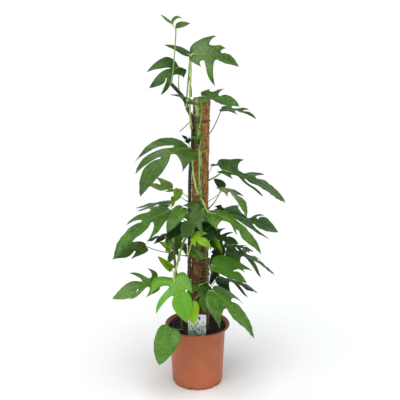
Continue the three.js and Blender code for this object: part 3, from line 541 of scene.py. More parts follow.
def coir_material(name, rgb):
    """Matted coconut fibre: crossing strands that vary in colour, with painted shade in the dark gaps
    between them, and painted shade that turns the pole darker and redder low down near the soil.
    """
    n = Nodes(name)
    strands = n.noise(90.0, 5.0, 0.7, stretch=(1.0, 1.0, 0.45))
    cross = n.noise(150.0, 3.0, 0.6, stretch=(0.35, 0.35, 1.6))
    patch = n.noise(11.0, 2.0, 0.5)
    both = n.times(n.plus(strands, cross), 0.5)
    # Painted shade: the darker, redder colour that the lower pole takes under the foliage.
    darkening = n.mix(n.smooth(both, 0.4, 0.6), linear((60, 32, 20)), linear((132, 76, 42)))
    # The strands' own varied colour, with painted shade in the gaps between them.
    colour = n.shades(rgb, 0.5, 1.16, both, 0.4, 0.6)
    colour = n.tint(colour, blend_rgb(rgb, (170, 104, 66), 0.7), patch, 0.45, 0.7, 0.45)
    colour = n.mix(n.smooth(n.height(), 0.75, 0.45, 0.0, 0.75), colour, darkening)
    n.set(Base_Color=colour, Roughness=n.smooth(both, 0.3, 0.7, 0.95, 0.75))
    n.bump(both, 0.9, 0.003)
    return n.material


def card_material():
    """A glossy plastic card with a blue spot and band, a soft spray of foliage, and no words."""
    n = Nodes("card_plastic")
    x, y, uv = n.uv("card")
    blotches = n.noise(5.0, 3.0, 0.6, place=uv)
    leaves = n.noise(11.0, 4.0, 0.6, place=uv, stretch=(1.5, 0.8, 1.0))
    green = n.mix(n.smooth(leaves, 0.42, 0.54), linear((24, 62, 48)), linear((226, 240, 220)))
    green = n.tint(green, (76, 132, 150), blotches, 0.5, 0.6, 0.6)
    green = n.tint(green, (150, 200, 120), leaves, 0.56, 0.66, 0.8)
    reach = n.plus(n.times(y, 0.9), n.times(blotches, 0.6))
    colour = n.mix(n.smooth(reach, 1.05, 0.8), linear(CARD_COLOUR), green)
    spot_x = n.math("POWER", n.minus(x, 0.62), 2.0)
    spot_y = n.math("POWER", n.minus(y, 0.88), 2.0)
    spot = n.smooth(n.math("SQRT", n.plus(spot_x, spot_y)), 0.09, 0.05)
    band = n.times(n.smooth(y, 0.09, 0.07), n.smooth(y, -0.2, -0.19))
    colour = n.mix(n.math("MAXIMUM", spot, band), colour, linear((50, 96, 168)))
    n.set(Base_Color=colour, Roughness=n.smooth(blotches, 0.2, 0.8, 0.26, 0.38), Specular_IOR_Level=0.5)
    n.bump(leaves, 0.05, 0.0003)
    return n.material


def wire_material():
    n = Nodes("tie_wire")
    wear = n.noise(300.0, 3.0, 0.6)
    colour = n.mix(n.smooth(wear, 0.4, 0.7), linear(WIRE_COLOUR), linear((74, 70, 62)))
    n.set(Base_Color=colour, Roughness=n.smooth(wear, 0.3, 0.7, 0.35, 0.55))
    n.bump(wear, 0.3, 0.0003)
    return n.material


# ---- Mesh helpers ----

def add_object(name, points, faces, materials, face_slots=None, uvs=None):
    """A smooth mesh object; uvs maps a layer name to one (u, v) per face corner."""
    mesh = bpy.data.meshes.new(name)
    mesh.from_pydata([tuple(p) for p in points], [], faces)
    for material in materials:
        mesh.materials.append(material)
    for polygon in mesh.polygons:
        polygon.use_smooth = True
    if face_slots:
        mesh.polygons.foreach_set("material_index", face_slots)
    for layer_name, corners in (uvs or {}).items():
        layer = mesh.uv_layers.new(name=layer_name)
        layer.data.foreach_set("uv", [value for corner in corners for value in corner])
    mesh.update()
    piece = bpy.data.objects.new(name, mesh)
    bpy.context.collection.objects.link(piece)
    return piece


def finish_piece(piece, node):
    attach(piece, "root")
    if node:
        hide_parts(node)


def catmull(points, t):
    """A point on the spline through all the points, t from 0 to 1; its ends run straight on."""
    count = len(points) - 1
    k = min(int(t * count), count - 1)
    u = t * count - k
    before = points[k - 1] if k else 2 * points[0] - points[1]
    after = points[k + 2] if k + 2 <= count else 2 * points[count] - points[count - 1]
    a, b = points[k], points[k + 1]
    return 0.5 * (
        2 * a
        + (b - before) * u
        + (2 * before - 5 * a + 4 * b - after) * u * u
        + (3 * a - before - 3 * b + after) * u * u * u
    )


def spline(points, steps):
    return [catmull(points, i / steps) for i in range(steps + 1)]


def bezier(p0, c1, c2, p3, steps):
    found = []
    for i in range(steps + 1):
        t = i / steps
        s = 1 - t
        found.append(p0 * s ** 3 + c1 * (3 * s * s * t) + c2 * (3 * s * t * t) + p3 * t ** 3)
    return found


def spoke(angle):
    """The level unit vector at an angle."""
    return Vector((math.cos(angle), math.sin(angle), 0))


def circle(count):
    return [spoke(2 * math.pi * k / count) for k in range(count)]


def level(v):
    """The direction of a vector seen from above."""
    return Vector((v.x, v.y, 0)).normalized()


def skin(rings, loop=False):
    """Points and faces of a body through equal rings: capped at both ends, or closed as a loop."""
    count = len(rings[0])
    points = [p for ring in rings for p in ring]
    faces = []
    for i in range(len(rings) if loop else len(rings) - 1):
        low = i * count
        high = (i + 1) % len(rings) * count
        for k in range(count):
            after = (k + 1) % count
            faces.append((low + k, low + after, high + after, high + k))
    if not loop:
        faces.append(tuple(range(count - 1, -1, -1)))
        faces.append(tuple(range(len(points) - count, len(points))))
    return points, faces


def tube(path, radii, sides):
    """Points and faces of a closed tube along a path, with no twist."""
    rings = []
    normal = None
    for i, centre in enumerate(path):
        along = (path[min(i + 1, len(path) - 1)] - path[max(i - 1, 0)]).normalized()
        if normal is None:
            normal = along.cross(UP if abs(along.z) < 0.9 else Vector((0, 1, 0)))
        normal = (normal - along * normal.dot(along)).normalized()
        other = along.cross(normal)
        rings.append([centre + (normal * s.x + other * s.y) * radii[i] for s in circle(sides)])
    return skin(rings)


def fan(points, faces, ring, z):
    """Closes a ring with triangles that meet on the axis at height z."""
    faces += [(ring[i - 1], v, len(points)) for i, v in enumerate(ring)]
    points.append(UP * z)


def lathe(profile, segments):
    """Points and faces of a closed round body; the profile starts and ends on the axis."""
    points, faces = skin([[out * r + UP * z for out in circle(segments)] for r, z in profile[1:-1]])
    top, bottom = faces.pop(), faces.pop()
    fan(points, faces, bottom, profile[0][1])
    fan(points, faces, top, profile[-1][1])
    return points, faces


def rounded(profile, radius):
    """A profile with each inner corner turned into a short arc."""
    steps = 3
    found = [Vector(profile[0])]
    for before, corner, after in zip(profile, profile[1:], profile[2:]):
        a, b, c = Vector(before), Vector(corner), Vector(after)
        reach = min(radius, (a - b).length * 0.4, (c - b).length * 0.4)
        start = b + (a - b).normalized() * reach
        end = b + (c - b).normalized() * reach
        for i in range(steps + 1):
            t = i / steps
            found.append(start * (1 - t) ** 2 + b * (2 * t * (1 - t)) + end * t * t)
    found.append(Vector(profile[-1]))
    return found


def add_part(points, faces, part):
    """Adds a part's points and faces to those of a bigger body."""
    start = len(points)
    points += part[0]
    faces += [tuple(start + v for v in face) for face in part[1]]


def pole_centre(z):
    return Vector((POLE_LEAN * z, 0, z))


# ---- Pot ----

def make_pot(material, darker_inside):
    """The pot as one lathe body, with drain notches cut in its foot."""
    base, rim, top = BASE_R / MM, RIM_R / MM, POT_HEIGHT / MM
    lip = rim - 18
    inside_low, inside_high = 100 * MM, POT_HEIGHT - 8 * MM
    profile = [
        (0, 0), (16, 0), (18, 11.8), (base - 6, 11.8), (base - 4.5, 0), (base - 1, 0), (base, 12),
        (base + 1.8, 14), (lip - 0.5, top - 22), (lip + 1, top - 15), (lip + 4, top - 11),
        (rim - 3, top - 8.5), (rim, top - 6), (rim, top - 2), (rim - 1.5, top), (rim - 6, top),
        (rim - 11, top - 4), (lip + 2.5, top - 11), (lip - 2.5, top - 22), (base - 0.6, 18),
        (base - 4, 14), (0, 14),
    ]
    points, faces = lathe(rounded([(r * MM, z * MM) for r, z in profile], 1.2 * MM), 144)
    pot = add_object("pot_body", points, faces, [material, darker_inside])
    cutters = [notch_cutter(FIRST_NOTCH + 2 * math.pi * i / NOTCH_COUNT) for i in range(NOTCH_COUNT)]
    for cutter in cutters:
        cut = pot.modifiers.new("notch", "BOOLEAN")
        cut.operation = "DIFFERENCE"
        cut.solver = "EXACT"
        cut.object = cutter
    apply_modifiers(pot)
    for cutter in cutters:
        bpy.data.objects.remove(cutter)
    for polygon in pot.data.polygons:
        polygon.use_smooth = True
        # Faces of the inside wall, from 100 mm up to just under the rim, take the darker inside colour.
        inward = polygon.center.xy.dot(polygon.normal.xy) < 0
        if inward and inside_low < polygon.center.z < inside_high:
            polygon.material_index = 1
    pot.data.set_sharp_from_angle(angle=math.radians(50))
    finish_piece(pot, "pot")


def notch_cutter(turn):
    """An arched block that cuts one notch through the foot ring."""
    half, height, depth, steps = 15 * MM, 11 * MM, 8 * MM, 8
    outline = [(-half, -height)]
    for i in range(steps + 1):
        angle = math.pi * (1 - i / steps)
        x = math.cos(angle)
        outline.append((half * (0.15 * x ** 3 + 0.85 * x), height * math.sin(angle) ** 0.35))
    outline.append((half, -height))
    rotation = Matrix.Rotation(turn, 3, "Z")
    ends = (BASE_R - depth, BASE_R + depth)
    points, faces = skin([[rotation @ Vector((x, y, z)) for x, z in outline] for y in ends])
    return add_object("notch_cutter", points, faces, [])


def apply_modifiers(piece):
    depsgraph = bpy.context.evaluated_depsgraph_get()
    solid = bpy.data.meshes.new_from_object(piece.evaluated_get(depsgraph))
    piece.modifiers.clear()
    piece.data = solid


# ---- Soil ----

def soil_height(x, y):
    """Height of the soil's lumpy top."""
    r = math.hypot(x, y) / SOIL_HIGH.x
    crown = SOIL_HIGH.z - 5 * MM + 3 * MM * (1 - r * r)
    lumps = noise.fractal(Vector((x, y, 0)) * 45, 1.0, 2.0, 4) * 2.2 * MM
    return crown + lumps


def make_soil(material):
    """A closed body with a lumpy top that meets the inside of the pot."""
    rings = 36
    edge = SOIL_HIGH.x - 0.4 * MM
    foot = [(BASE_R - 6 * MM, SOIL_LOW.z), (BASE_R - 3 * MM, 22 * MM), (SOIL_HIGH.x - 8 * MM, 130 * MM)]
    top = [(edge * i / rings, SOIL_HIGH.z) for i in range(rings, 0, -1)]
    points, faces = skin([[out * r + UP * z for out in circle(96)] for r, z in foot + top])
    fan(points, faces, faces.pop(), SOIL_HIGH.z)
    for p in points:
        if p.z > 0.9 * SOIL_HIGH.z:
            p.z = soil_height(p.x, p.y)
    finish_piece(add_object("soil_bed", points, faces, [material]), "soil")


def make_crumbs(materials):
    """Loose crumbs of peat and bark on the soil, as one piece."""
    draw = random.Random(7)
    count, bark_share = 900, 0.07
    outline = [(1.4, 0), (0.4, 0.9), (-0.9, 0.7), (-1.2, -0.4), (0.2, -1)]
    points, faces, slots = [], [], []
    for _ in range(count):
        r = SOIL_HIGH.x * 0.965 * math.sqrt(draw.random())
        centre = spoke(draw.uniform(0, 2 * math.pi)) * r
        if (centre - Vector((POLE_LEAN * 0.23, 0, 0))).length < POLE_R + 2 * MM:
            continue
        size = draw.uniform(0.8, 2.6) * MM
        turn = Matrix.Rotation(draw.uniform(0, 6), 3, "Z") @ Matrix.Rotation(draw.uniform(-0.6, 0.6), 3, "X")
        centre.z = soil_height(centre.x, centre.y) + size * 0.2
        start = len(points)
        for x, y in outline:
            points.append(centre + turn @ Vector((x, y, 0)) * size * draw.uniform(0.75, 1.25))
        points.append(centre + turn @ Vector((draw.uniform(-0.3, 0.3), 0, 0.8)) * size)
        points.append(centre + turn @ Vector((0, draw.uniform(-0.3, 0.3), -0.8)) * size)
        slot = 1 if draw.random() < bark_share else 0
        for k in range(5):
            a, b = start + k, start + (k + 1) % 5
            faces += [(a, b, start + 5), (b, a, start + 6)]
            slots += [slot, slot]
    finish_piece(add_object("soil_crumbs", points, faces, materials, slots), None)


# ---- Pole ----

def make_coir(material):
    """The matted wrap: a rough cylinder that leans with the pole, with a bore for the core."""
    count = 420
    bottom, top = COIR_LOW.z, COIR_HIGH.z
    bore = CORE_R + 0.4 * MM
    around = circle(72)
    rings = []
    for i in range(count + 1):
        z = bottom + (top - bottom) * i / count
        frayed = 1 - min(1.0, min(i, count - i) / 3)
        rings.append([pole_centre(z) + out * coir_radius(out, z, frayed) for out in around])
    for z in (top - 0.4 * MM, bottom + 0.4 * MM):
        rings.append([pole_centre(z) + out * bore for out in around])
    points, faces = skin(rings, loop=True)
    finish_piece(add_object("coir_mat", points, faces, [material]), "coir_wrap")


def coir_radius(out, z, frayed):
    """The wrap's lumpy, fuzzy radius in one direction, drawn in at its frayed ends."""
    lumps = noise.fractal(out * 0.9 + UP * z * 26, 0.9, 2.0, 5)
    fuzz = noise.noise((out * POLE_R + UP * z) * 420)
    return POLE_R - (1.4 - 2.4 * lumps - fuzz + 2.5 * frayed) * MM


def make_fibres(material):
    """Loose coir fibres that lie on the wrap and stand a little off it."""
    draw = random.Random(11)
    points, faces = [], []
    count, steps = 2600, 5
    for _ in range(count):
        angle = draw.uniform(0, 2 * math.pi)
        z = draw.uniform(SOIL_HIGH.z, COIR_HIGH.z - 4 * MM)
        length = draw.uniform(10, 38) * MM
        slope = draw.choice((-1, 1)) * draw.uniform(0.25, 1.5)
        lift = draw.uniform(0.2, 1.0) ** 3 * 5.5 * MM
        curve = draw.uniform(-0.5, 0.5)
        path = []
        for i in range(steps + 1):
            t = i / steps
            way = slope + curve * t
            turn = angle + math.cos(way) * length * t / POLE_R
            height = z + math.sin(way) * length * t
            height = min(max(height, SOIL_HIGH.z - 4 * MM), COIR_HIGH.z - 1 * MM)
            r = POLE_R - 1.6 * MM + lift * math.sin(math.pi * min(1, t * draw.uniform(0.7, 0.9)))
            path.append(pole_centre(height) + spoke(turn) * r)
        radius = draw.uniform(0.16, 0.34) * MM
        add_part(points, faces, tube(path, [radius] * len(path), 3))
    finish_piece(add_object("coir_fibres", points, faces, [material]), None)


def make_core(material):
    """The wooden stake inside the pole, whose end shows at the top."""
    bottom, top = CORE_LOW.z, CORE_HIGH.z
    profile = [(0, bottom), (CORE_R, bottom), (CORE_R, top), (0, top)]
    points, faces = lathe(rounded(profile, 1.5 * MM), 40)
    points = [p + Vector((POLE_LEAN * p.z, 0, 0)) for p in points]
    finish_piece(add_object("pole_stake", points, faces, [material]), "pole_core")


# ---- Card ----

def make_card(material):
    """A thin plastic card with clipped corners on a pointed stake, leaning a little forwards."""
    top, thick, corner = 127 * MM, 0.8 * MM, 5 * MM
    half = (CARD_HIGH.x - CARD_LOW.x) / 2
    shoulder = CARD_HIGH.z - top
    stake = CARD_LOW.z - shoulder
    outline = [(0, stake), (10 * MM, stake + 18 * MM), (half, 0), (half, top - corner)]
    for i in range(1, 5):
        arc = spoke(math.radians(90 * i / 4)) * corner
        outline.append((half - corner + arc.x, top - corner + arc.y))
    outline += [(-x, z) for x, z in reversed(outline[1:])]
    lean = Matrix.Rotation(math.radians(-3), 3, "X")
    place = (CARD_LOW + CARD_HIGH) / 2
    place.z = shoulder
    place.y -= (lean @ UP).y * (stake + top) / 2
    sides = (thick / 2, -thick / 2)
    points, faces = skin([[place + lean @ Vector((x, y, z)) for x, z in outline] for y in sides])
    print_uv = [((x + half) / (2 * half), z / top) for x, z in outline]
    corners = [print_uv[v % len(outline)] for face in faces for v in face]
    card = add_object("card_sheet", points, faces, [material], uvs={"card": corners})
    card.data.set_sharp_from_angle(angle=math.radians(40))
    finish_piece(card, "plant_card")


# ---- Stems ----

STEM_PATHS = {name: [Vector(p) * MM for p in points] for name, (_, _, points) in STEMS.items()}


def stem_point(name, z):
    """The point where a stem's centre line is at height z."""
    low, high = 0.0, 1.0
    for _ in range(30):
        middle = (low + high) / 2
        if catmull(STEM_PATHS[name], middle).z < z:
            low = middle
        else:
            high = middle
    return catmull(STEM_PATHS[name], low)


def make_stem(name, materials):
    """A stem with a swollen ring at each node, and roots that grip the pole."""
    radius, material, _ = STEMS[name]
    radius *= MM
    path = spline(STEM_PATHS[name], 18 * (len(STEM_PATHS[name]) - 1))
    node_gap = 46 * MM
    run = 0.0
    radii = []
    for i, p in enumerate(path):
        run += (p - path[i - 1]).length if i else 0
        phase = abs((run / node_gap) % 1 - 0.5) * 2
        ring = max(0, (phase - 0.8) / 0.2)
        radii.append(radius * (0.93 + 0.2 * ring ** 2 + 0.03 * math.sin(run * 300)))
    for i, taper in enumerate((0.5, 0.75, 0.9)):
        radii[-1 - i] *= taper
    points, faces = tube(path, radii, 12)
    if name in ("left", "front", "right", "back"):
        add_roots(points, faces, path, radius, random.Random(len(name) * 13))
    finish_piece(add_object("stem_" + name + "_skin", points, faces, [materials[material]]),
                 "stem_" + name)


def add_roots(points, faces, path, radius, draw):
    """Roots along the part of a stem that lies close to the pole, more of them on its old wood."""
    for i in range(8, len(path) - 2):
        old = path[i].z < OLD_WOOD_TOP
        off_pole = (path[i] - pole_centre(path[i].z)).length - POLE_R - radius
        near = off_pole <= 12 * MM and path[i].z <= COIR_HIGH.z - 20 * MM
        if near and i % (3 if old else 7) == 0:
            add_part(points, faces, root(path[i], radius, draw, old))


def root(start, radius, draw, old):
    """An aerial root that runs from a stem along the pole and tapers; old ones are long and thick."""
    steps = 6
    off = start - pole_centre(start.z)
    angle = math.atan2(off.y, off.x)
    way = draw.choice((-1, 1))
    drop = draw.uniform(-10, 14) * (3.5 if old else 1.0) * MM
    reach = draw.uniform(0.35, 0.8) * (2.2 if old else 1.0)
    thick = radius * (0.5 if old else 0.34)
    path = []
    for i in range(steps + 1):
        t = i / steps
        r = POLE_R + 1.0 * MM + (off.length - POLE_R) * (1 - t) ** 2
        path.append(pole_centre(start.z - drop * t * t) + spoke(angle + way * reach * t) * r)
    return tube(path, [thick * (1 - 0.8 * i / steps) for i in range(steps + 1)], 6)


# ---- Leaf blades ----

STATIONS = 22  # columns along a midrib
LOBE_STEPS = 11
INNER_ROWS = 4
BLADE_THICK = 0.55 * MM
SINUS_ROUND = 0.045
BASE_BACK = 0.1


def flat(x, y):
    return Vector((x, y))


def even_row(a, b, columns):
    return [a.lerp(b, j / columns) for j in range(columns + 1)]


def band_rows(midrib, outer, count, reach):
    """Rows that spread from the midrib to an outer row; out grows from 0 to reach."""
    rows = []
    for i in range(count + 1):
        row = [p.lerp(q, i / count) for p, q in zip(midrib, outer)]
        rows.append((0.0, reach * i / count, row))
    return rows


def lobe_edges(root, tip, sinus, first, flare):
    """The near and far edge of one lobe; flare sets how far the first one swings out at the base."""
    axis = (tip - (root + sinus) / 2).normalized()
    swept = (axis + flat(0.75, 0)).normalized()
    side = flat(-axis.y, axis.x)
    near = (tip - root).length
    far = (tip - sinus).length
    if first:
        leave = flat(-1.6 * BASE_BACK, 0.45 * near) * flare
        belly, hollow = 0.18 * flare, 0.02
    else:
        leave = root + flat(1.7 * SINUS_ROUND, -0.01)
        belly, hollow = 0.24, 0.08
    near_arrive = tip - swept * (0.4 * near) + side * (near * belly)
    far_leave = tip - swept * (0.42 * far) - side * (far * hollow)
    far_arrive = sinus - flat(2 * SINUS_ROUND, -0.01)
    near_edge = bezier(root, leave, near_arrive, tip, LOBE_STEPS)
    far_edge = bezier(tip, far_leave, far_arrive, sinus, LOBE_STEPS)
    return near_edge, far_edge[::-1]


def side_grids(lobes, end, flare):
    """The grids of one side of a blade, lying flat: one per lobe, then the end lobe.

    Each grid is a list of rows (flutter, out, points) from the midrib outwards. Its columns start at
    evenly spaced stations on the midrib, so both sides meet there.
    """
    grids = []
    root = flat(0, 0)
    station = 0
    inner = 0.3
    for k, (tip_x, tip_y, sinus_x, sinus_y) in enumerate(lobes):
        sinus = flat(sinus_x, sinus_y)
        last = max(station + 1, round((sinus_x - 0.45 * sinus_y) * STATIONS))
        columns = last - station
        near_edge, far_edge = lobe_edges(root, flat(tip_x, tip_y), sinus, k == 0, flare)
        midrib = even_row(flat(station / STATIONS, 0), flat(last / STATIONS, 0), columns)
        rows = band_rows(midrib, even_row(root, sinus, columns), INNER_ROWS, inner)
        for i in range(1, LOBE_STEPS + 1):
            t = i / LOBE_STEPS
            rows.append((t, inner + (1 - inner) * t, even_row(near_edge[i], far_edge[i], columns)))
        grids.append((k, rows))
        root = sinus
        station = last
    run = 1 - root.x
    if lobes:
        leave = root + flat(0.24 * run, end * 1.25 - root.y * 0.6)
        arrive = flat(1 - 0.4 * run, end * 0.95)
    else:
        leave = flat(-0.2, end * 1.75)
        arrive = flat(0.62, end * 1.5)
    edge = bezier(root, leave, arrive, flat(1, 0), STATIONS - station)
    midrib = even_row(flat(station / STATIONS, 0), flat(1, 0), STATIONS - station)
    grids.append((-1, band_rows(midrib, edge, INNER_ROWS + 2, 0.6)))
    return grids


def flat_blade(end, flare, left, right):
    """A whole blade lying flat: points (x, y, side, lobe, flutter), faces and their lobe UVs."""
    points, faces, lanes = [], [], []
    known = {}

    def keep(p, side, lobe, flutter):
        key = (round(p.x, 5), "midrib" if p.y < 1e-6 else round(side * p.y, 5))
        if key not in known:
            known[key] = len(points)
            points.append((p.x, side * p.y, side, lobe, flutter))
        return known[key]

    for side, lobes in ((1, left), (-1, right)):
        for lobe, rows in side_grids(lobes, end, flare):
            ids = [[keep(p, side, lobe, flutter) for p in row] for flutter, _, row in rows]
            columns = len(ids[0]) - 1
            for i in range(len(ids) - 1):
                for j in range(columns):
                    corners = [(i, j), (i, j + 1), (i + 1, j + 1), (i + 1, j)]
                    face, lane = [], []
                    for r, c in corners if side > 0 else reversed(corners):
                        if ids[r][c] not in face:
                            face.append(ids[r][c])
                            lane.append((rows[r][1], c / columns if lobe >= 0 else 0.0))
                    if len(face) >= 3:
                        faces.append(face)
                        lanes.append(lane)
    return points, faces, lanes


def blade_pose(base, tip, roll, droop):
    """Where a blade stands: its base, length, and its directions along, across and up at the base."""
    chord = tip - base
    along = chord.normalized()
    side = UP.cross(along).normalized()
    up = along.cross(side)
    across = side * math.cos(roll) + up * math.sin(roll)
    top = up * math.cos(roll) - side * math.sin(roll)
    half = droop / 2
    return {
        "base": base,
        "across": across,
        "length": chord.length * half / math.sin(half),
        "along": along * math.cos(half) + top * math.sin(half),
        "up": top * math.cos(half) - along * math.sin(half),
    }


def scatter(a, b):
    """A number from 0 to 1 that jumps about as a and b change."""
    value = math.sin(a * 12.9898 + b * 78.233) * 43758.5453
    return value - math.floor(value)


def bend(pose, x, y, side, lobe, flutter, droop, fold, arch, seed, detail=1.0):
    """Bends one flat point: droop along the midrib, a fold at it and an arch away from it."""
    turn = droop * x
    along = math.sin(turn) / droop
    down = -(1 - math.cos(turn)) / droop
    out = abs(y)
    curl = arch / 0.5
    if curl:
        across = (math.sin(fold) - math.sin(fold - curl * out)) / curl
        lift = (math.cos(fold - curl * out) - math.cos(fold)) / curl
    else:
        across = math.cos(fold) * out
        lift = math.sin(fold) * out
    hang = scatter(seed, (lobe + 1) * side) * 1.6 - 0.3 if lobe >= 0 else 0
    lift -= 0.1 * hang * flutter ** 2 * out
    groove = -0.006 * math.exp(-((out / 0.018) ** 2))
    waves = noise.noise(Vector((x * 3.1, y * 3.1, seed * 1.7))) * 0.045 * min(1, out / 0.12)
    quilt = 0.005 * math.sin((x - 0.8 * out) * 42) * min(1, out / 0.05)
    lift += detail * (groove + waves + quilt)
    normal = pose["along"] * math.sin(turn) + pose["up"] * math.cos(turn)
    length = pose["length"]
    way = (y > 0) - (y < 0)
    return (
        pose["base"]
        + pose["along"] * (length * along)
        + pose["up"] * (length * down)
        + pose["across"] * (length * across * way)
        + normal * (length * lift)
    )


def sheet(points, faces):
    """A closed sheet: corners, then top faces, under faces and edge faces, each in its own list."""
    normals = [Vector() for _ in points]
    for face in faces:
        a = points[face[-2]] - points[face[0]]
        b = points[face[-1]] - points[face[1 if len(face) == 4 else 0]]
        for v in face:
            normals[v] += a.cross(b)
    count = len(points)
    rise = [n.normalized() * (BLADE_THICK / 2) for n in normals]
    corners = [p + r for p, r in zip(points, rise)] + [p - r for p, r in zip(points, rise)]
    under = [tuple(count + v for v in reversed(face)) for face in faces]
    edges = {(a, b): True for face in faces for a, b in zip(face, face[1:] + face[:1])}
    rim = [(a, count + a, count + b, b) for a, b in edges if (b, a) not in edges]
    return corners, [tuple(face) for face in faces], under, rim


# ---- Petioles ----

def petiole_path(row, pose, run):
    """The petiole leaves its stem sideways, curves up to the blade and runs on under the midrib."""
    source, height, rise, radius = row[5:9]
    base = pose["base"]
    if source in STEMS:
        first = stem_point(source, height * MM)
        away = level(first - pole_centre(first.z))
        out = (level(base - first) + away * 0.7).normalized()
        start = first + out * (STEMS[source][0] + radius + 0.8) * MM
    else:
        other = next(entry for entry in LEAVES if entry[0] == source)
        start = Vector(other[2]) * MM - UP * 14 * MM
        out = UP
        first = start - UP * 4 * MM
    reach = (base - start).length
    straight = (base - start).normalized()
    leave = (straight + UP * (0.5 * rise) + out * 0.6).normalized()
    arrive = (straight + UP * rise).normalized()
    points = bezier(start, start + leave * (0.33 * reach), base - arrive * (0.33 * reach), base, 5)
    points.append(run - pose["up"] * 0.8 * MM)
    return [first] + spline(points, 30)


def petiole_radii(radius, count):
    """Sheathed and thick at the stem, slim along its length, and swollen at the blade."""
    radii = []
    for i in range(count):
        t = i / (count - 1)
        sheath = 0.55 * math.exp(-((t / 0.09) ** 2))
        knee = 0.22 * math.exp(-(((t - 0.84) / 0.05) ** 2))
        taper = 1.0 - 0.15 * t
        if t > 0.88:
            taper *= 1 - 0.7 * (t - 0.88) / 0.12
        radii.append(radius * (taper + sheath + knee))
    return radii


# ---- Leaves ----

def make_leaf(row, seed, leaf_materials):
    """A blade with its petiole, as one piece."""
    name, form, base, tip, angles = row[:5]
    radius, colour = row[8:]
    roll, droop, fold, arch = (math.radians(a) for a in angles)
    pose = blade_pose(Vector(base) * MM, Vector(tip) * MM, roll, droop)
    flat_points, flat_faces, lanes = flat_blade(*FORMS[form])
    points = [bend(pose, *p, droop, fold, arch, seed) for p in flat_points]
    points, top, under, rim = sheet(points, flat_faces)
    faces = top + under + rim
    flat_corners = [flat_points[v % len(flat_points)] for face in faces for v in face]
    blade_uv = [(p[0], 0.5 + p[1]) for p in flat_corners]
    lobe_uv = [uv for lane in lanes for uv in lane]
    lobe_uv += [uv for lane in lanes for uv in reversed(lane)]
    lobe_uv += [(1.0, 0.0)] * (4 * len(rim))
    run = bend(pose, 0.12, 0, 1, -1, 0, droop, fold, arch, seed, 0.0)
    path = petiole_path(row, pose, run)
    stalk = tube(path, petiole_radii(radius * MM, len(path)), 8)
    add_part(points, faces, stalk)
    no_uv = [(0.0, 0.0)] * sum(len(face) for face in stalk[1])
    slots = [0] * len(top) + [1] * len(under) + [0] * len(rim) + [2] * len(stalk[1])
    top_skin, under_skin, petiole_skin = leaf_materials[colour]
    skins = [top_skin, under_skin, leaf_materials.get("petiole_of_" + name, petiole_skin)]
    leaf = add_object("leaf_" + name + "_skin", points, faces, skins, slots,
                      {"blade": blade_uv + no_uv, "lobe": lobe_uv + no_uv})
    paint_tone(leaf, LEAF_TONES.get(name, USUAL_TONE))
    return leaf


def paint_tone(leaf, value):
    """One lightness for the whole leaf, from 0, dark, to 1, bright: partly its own colour and partly painted
    light and shade.
    """
    layer = leaf.data.color_attributes.new("tone", "FLOAT_COLOR", "POINT")
    layer.data.foreach_set("color", [value, value, value, 1.0] * len(leaf.data.vertices))


def make_leaves(leaf_materials):
    """Every leaf; one whose petiole starts on another leaf is joined to it."""
    made = {}
    for i, row in enumerate(LEAVES):
        leaf = make_leaf(row, i + 1, leaf_materials)
        if row[5] in made:
            join(made[row[5]], leaf)
        else:
            made[row[0]] = leaf
    for row in LEAVES:
        if row[0] in made:
            finish_piece(made[row[0]], "leaf_" + row[0])


def join(target, other):
    with bpy.context.temp_override(active_object=target, selected_editable_objects=[target, other]):
        bpy.ops.object.join()


# ---- Stage ----

def make_stage():
    """A white floor, two soft distant lights and a white surround."""
    size = 60
    points = [(-size, -size, 0), (size, -size, 0), (size, size, 0), (-size, size, 0)]
    n = Nodes("studio_floor")
    colour = n.mix(n.noise(4.0, 2.0, 0.5), (0.93, 0.93, 0.93, 1), (0.96, 0.96, 0.96, 1))
    n.set(Base_Color=colour, Roughness=0.9, Specular_IOR_Level=0.1)
    floor = add_object("studio_floor", points, [(0, 1, 2, 3)], [n.material])
    make_surround()
    add_light("key_light", (-2.2, -2.2, 2.6), 50, 0.45)
    add_light("top_light", (0.0, -1.5, 4.0), 40, 1.6)


def make_surround():
    """A white surround that is bright at the horizon and dimmer overhead."""
    world = bpy.data.worlds.new("studio")
    world.use_nodes = True
    tree = world.node_tree
    place = tree.nodes.new("ShaderNodeTexCoord")
    split = tree.nodes.new("ShaderNodeSeparateXYZ")
    fade = tree.nodes.new("ShaderNodeMapRange")
    settings = {"From Min": 0.1, "From Max": 0.45, "To Min": HORIZON_STRENGTH, "To Max": SKY_STRENGTH}
    for key, value in settings.items():
        fade.inputs[key].default_value = value
    background = tree.nodes["Background"]
    background.inputs["Color"].default_value = SKY_COLOUR
    tree.links.new(place.outputs["Generated"], split.inputs[0])
    tree.links.new(split.outputs["Z"], fade.inputs["Value"])
    tree.links.new(fade.outputs["Result"], background.inputs["Strength"])
    bpy.context.scene.world = world


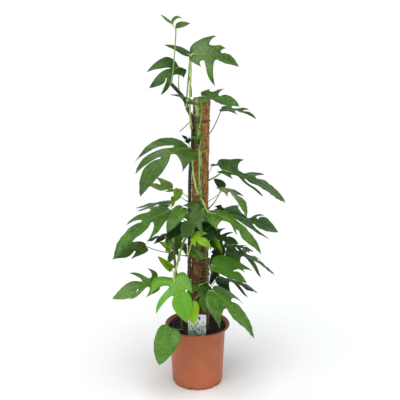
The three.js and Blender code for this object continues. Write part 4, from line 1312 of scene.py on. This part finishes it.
def add_light(name, place, spread, strength):
    """A soft distant light that shines from a place towards the origin."""
    light = bpy.data.lights.new(name, "SUN")
    light.angle = math.radians(spread)
    light.energy = strength
    lamp = bpy.data.objects.new(name, light)
    lamp.location = place
    lamp.rotation_euler = (-Vector(place)).to_track_quat("-Z", "Y").to_euler()
    bpy.context.collection.objects.link(lamp)


def make_camera():
    camera = bpy.data.cameras.new("camera")
    camera.lens = CAMERA_LENS
    camera.sensor_width = 36
    camera.clip_end = 200
    eye = bpy.data.objects.new("camera", camera)
    eye.location = CAMERA_PLACE
    eye.rotation_euler = (math.radians(90) - CAMERA_DOWN, 0, 0)
    bpy.context.collection.objects.link(eye)
    bpy.context.scene.camera = eye


# ---- Assembly ----

def make_leaf_materials():
    """Top, underside and petiole for each leaf colour, and the petioles with their own colour."""
    made = {}
    for name, rgb in LEAF_COLOURS.items():
        top = leaf_material("leaf_" + name, rgb)
        under = leaf_material("leaf_" + name + "_under", rgb, under=True)
        petiole = stalk_material("petiole_" + name, blend_rgb(rgb, PETIOLE_TINT, 0.65))
        made[name] = [top, under, petiole]
    for name, rgb in PETIOLE_COLOURS.items():
        made["petiole_of_" + name] = stalk_material("petiole_of_" + name, rgb)
    return made


def main():
    make_camera()
    make_stage()
    bpy.context.scene.view_settings.view_transform = "Standard"
    soil = soil_material("soil", SOIL_COLOUR)
    make_pot(pot_material("pot_plastic", POT_COLOUR), pot_material("pot_inside", POT_INSIDE_COLOUR))
    make_soil(soil)
    make_crumbs([soil, soil_material("bark_chips", BARK_CHIP_COLOUR)])
    make_coir(coir_material("coir", COIR_COLOUR))
    make_fibres(coir_material("coir_strands", shade(COIR_COLOUR, 1.15)))
    make_core(bark_material("stake_wood", CORE_COLOUR))
    make_card(card_material())
    stems = {name: bark_material(name, rgb) for name, rgb in STEM_COLOURS.items()}
    for name in STEMS:
        make_stem(name, stems)
    make_leaves(make_leaf_materials())
    wire = wire_material()
    for name in ("tie_top", "tie_middle", "tie_bottom"):
        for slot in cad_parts[name].material_slots:
            slot.material = wire


main()
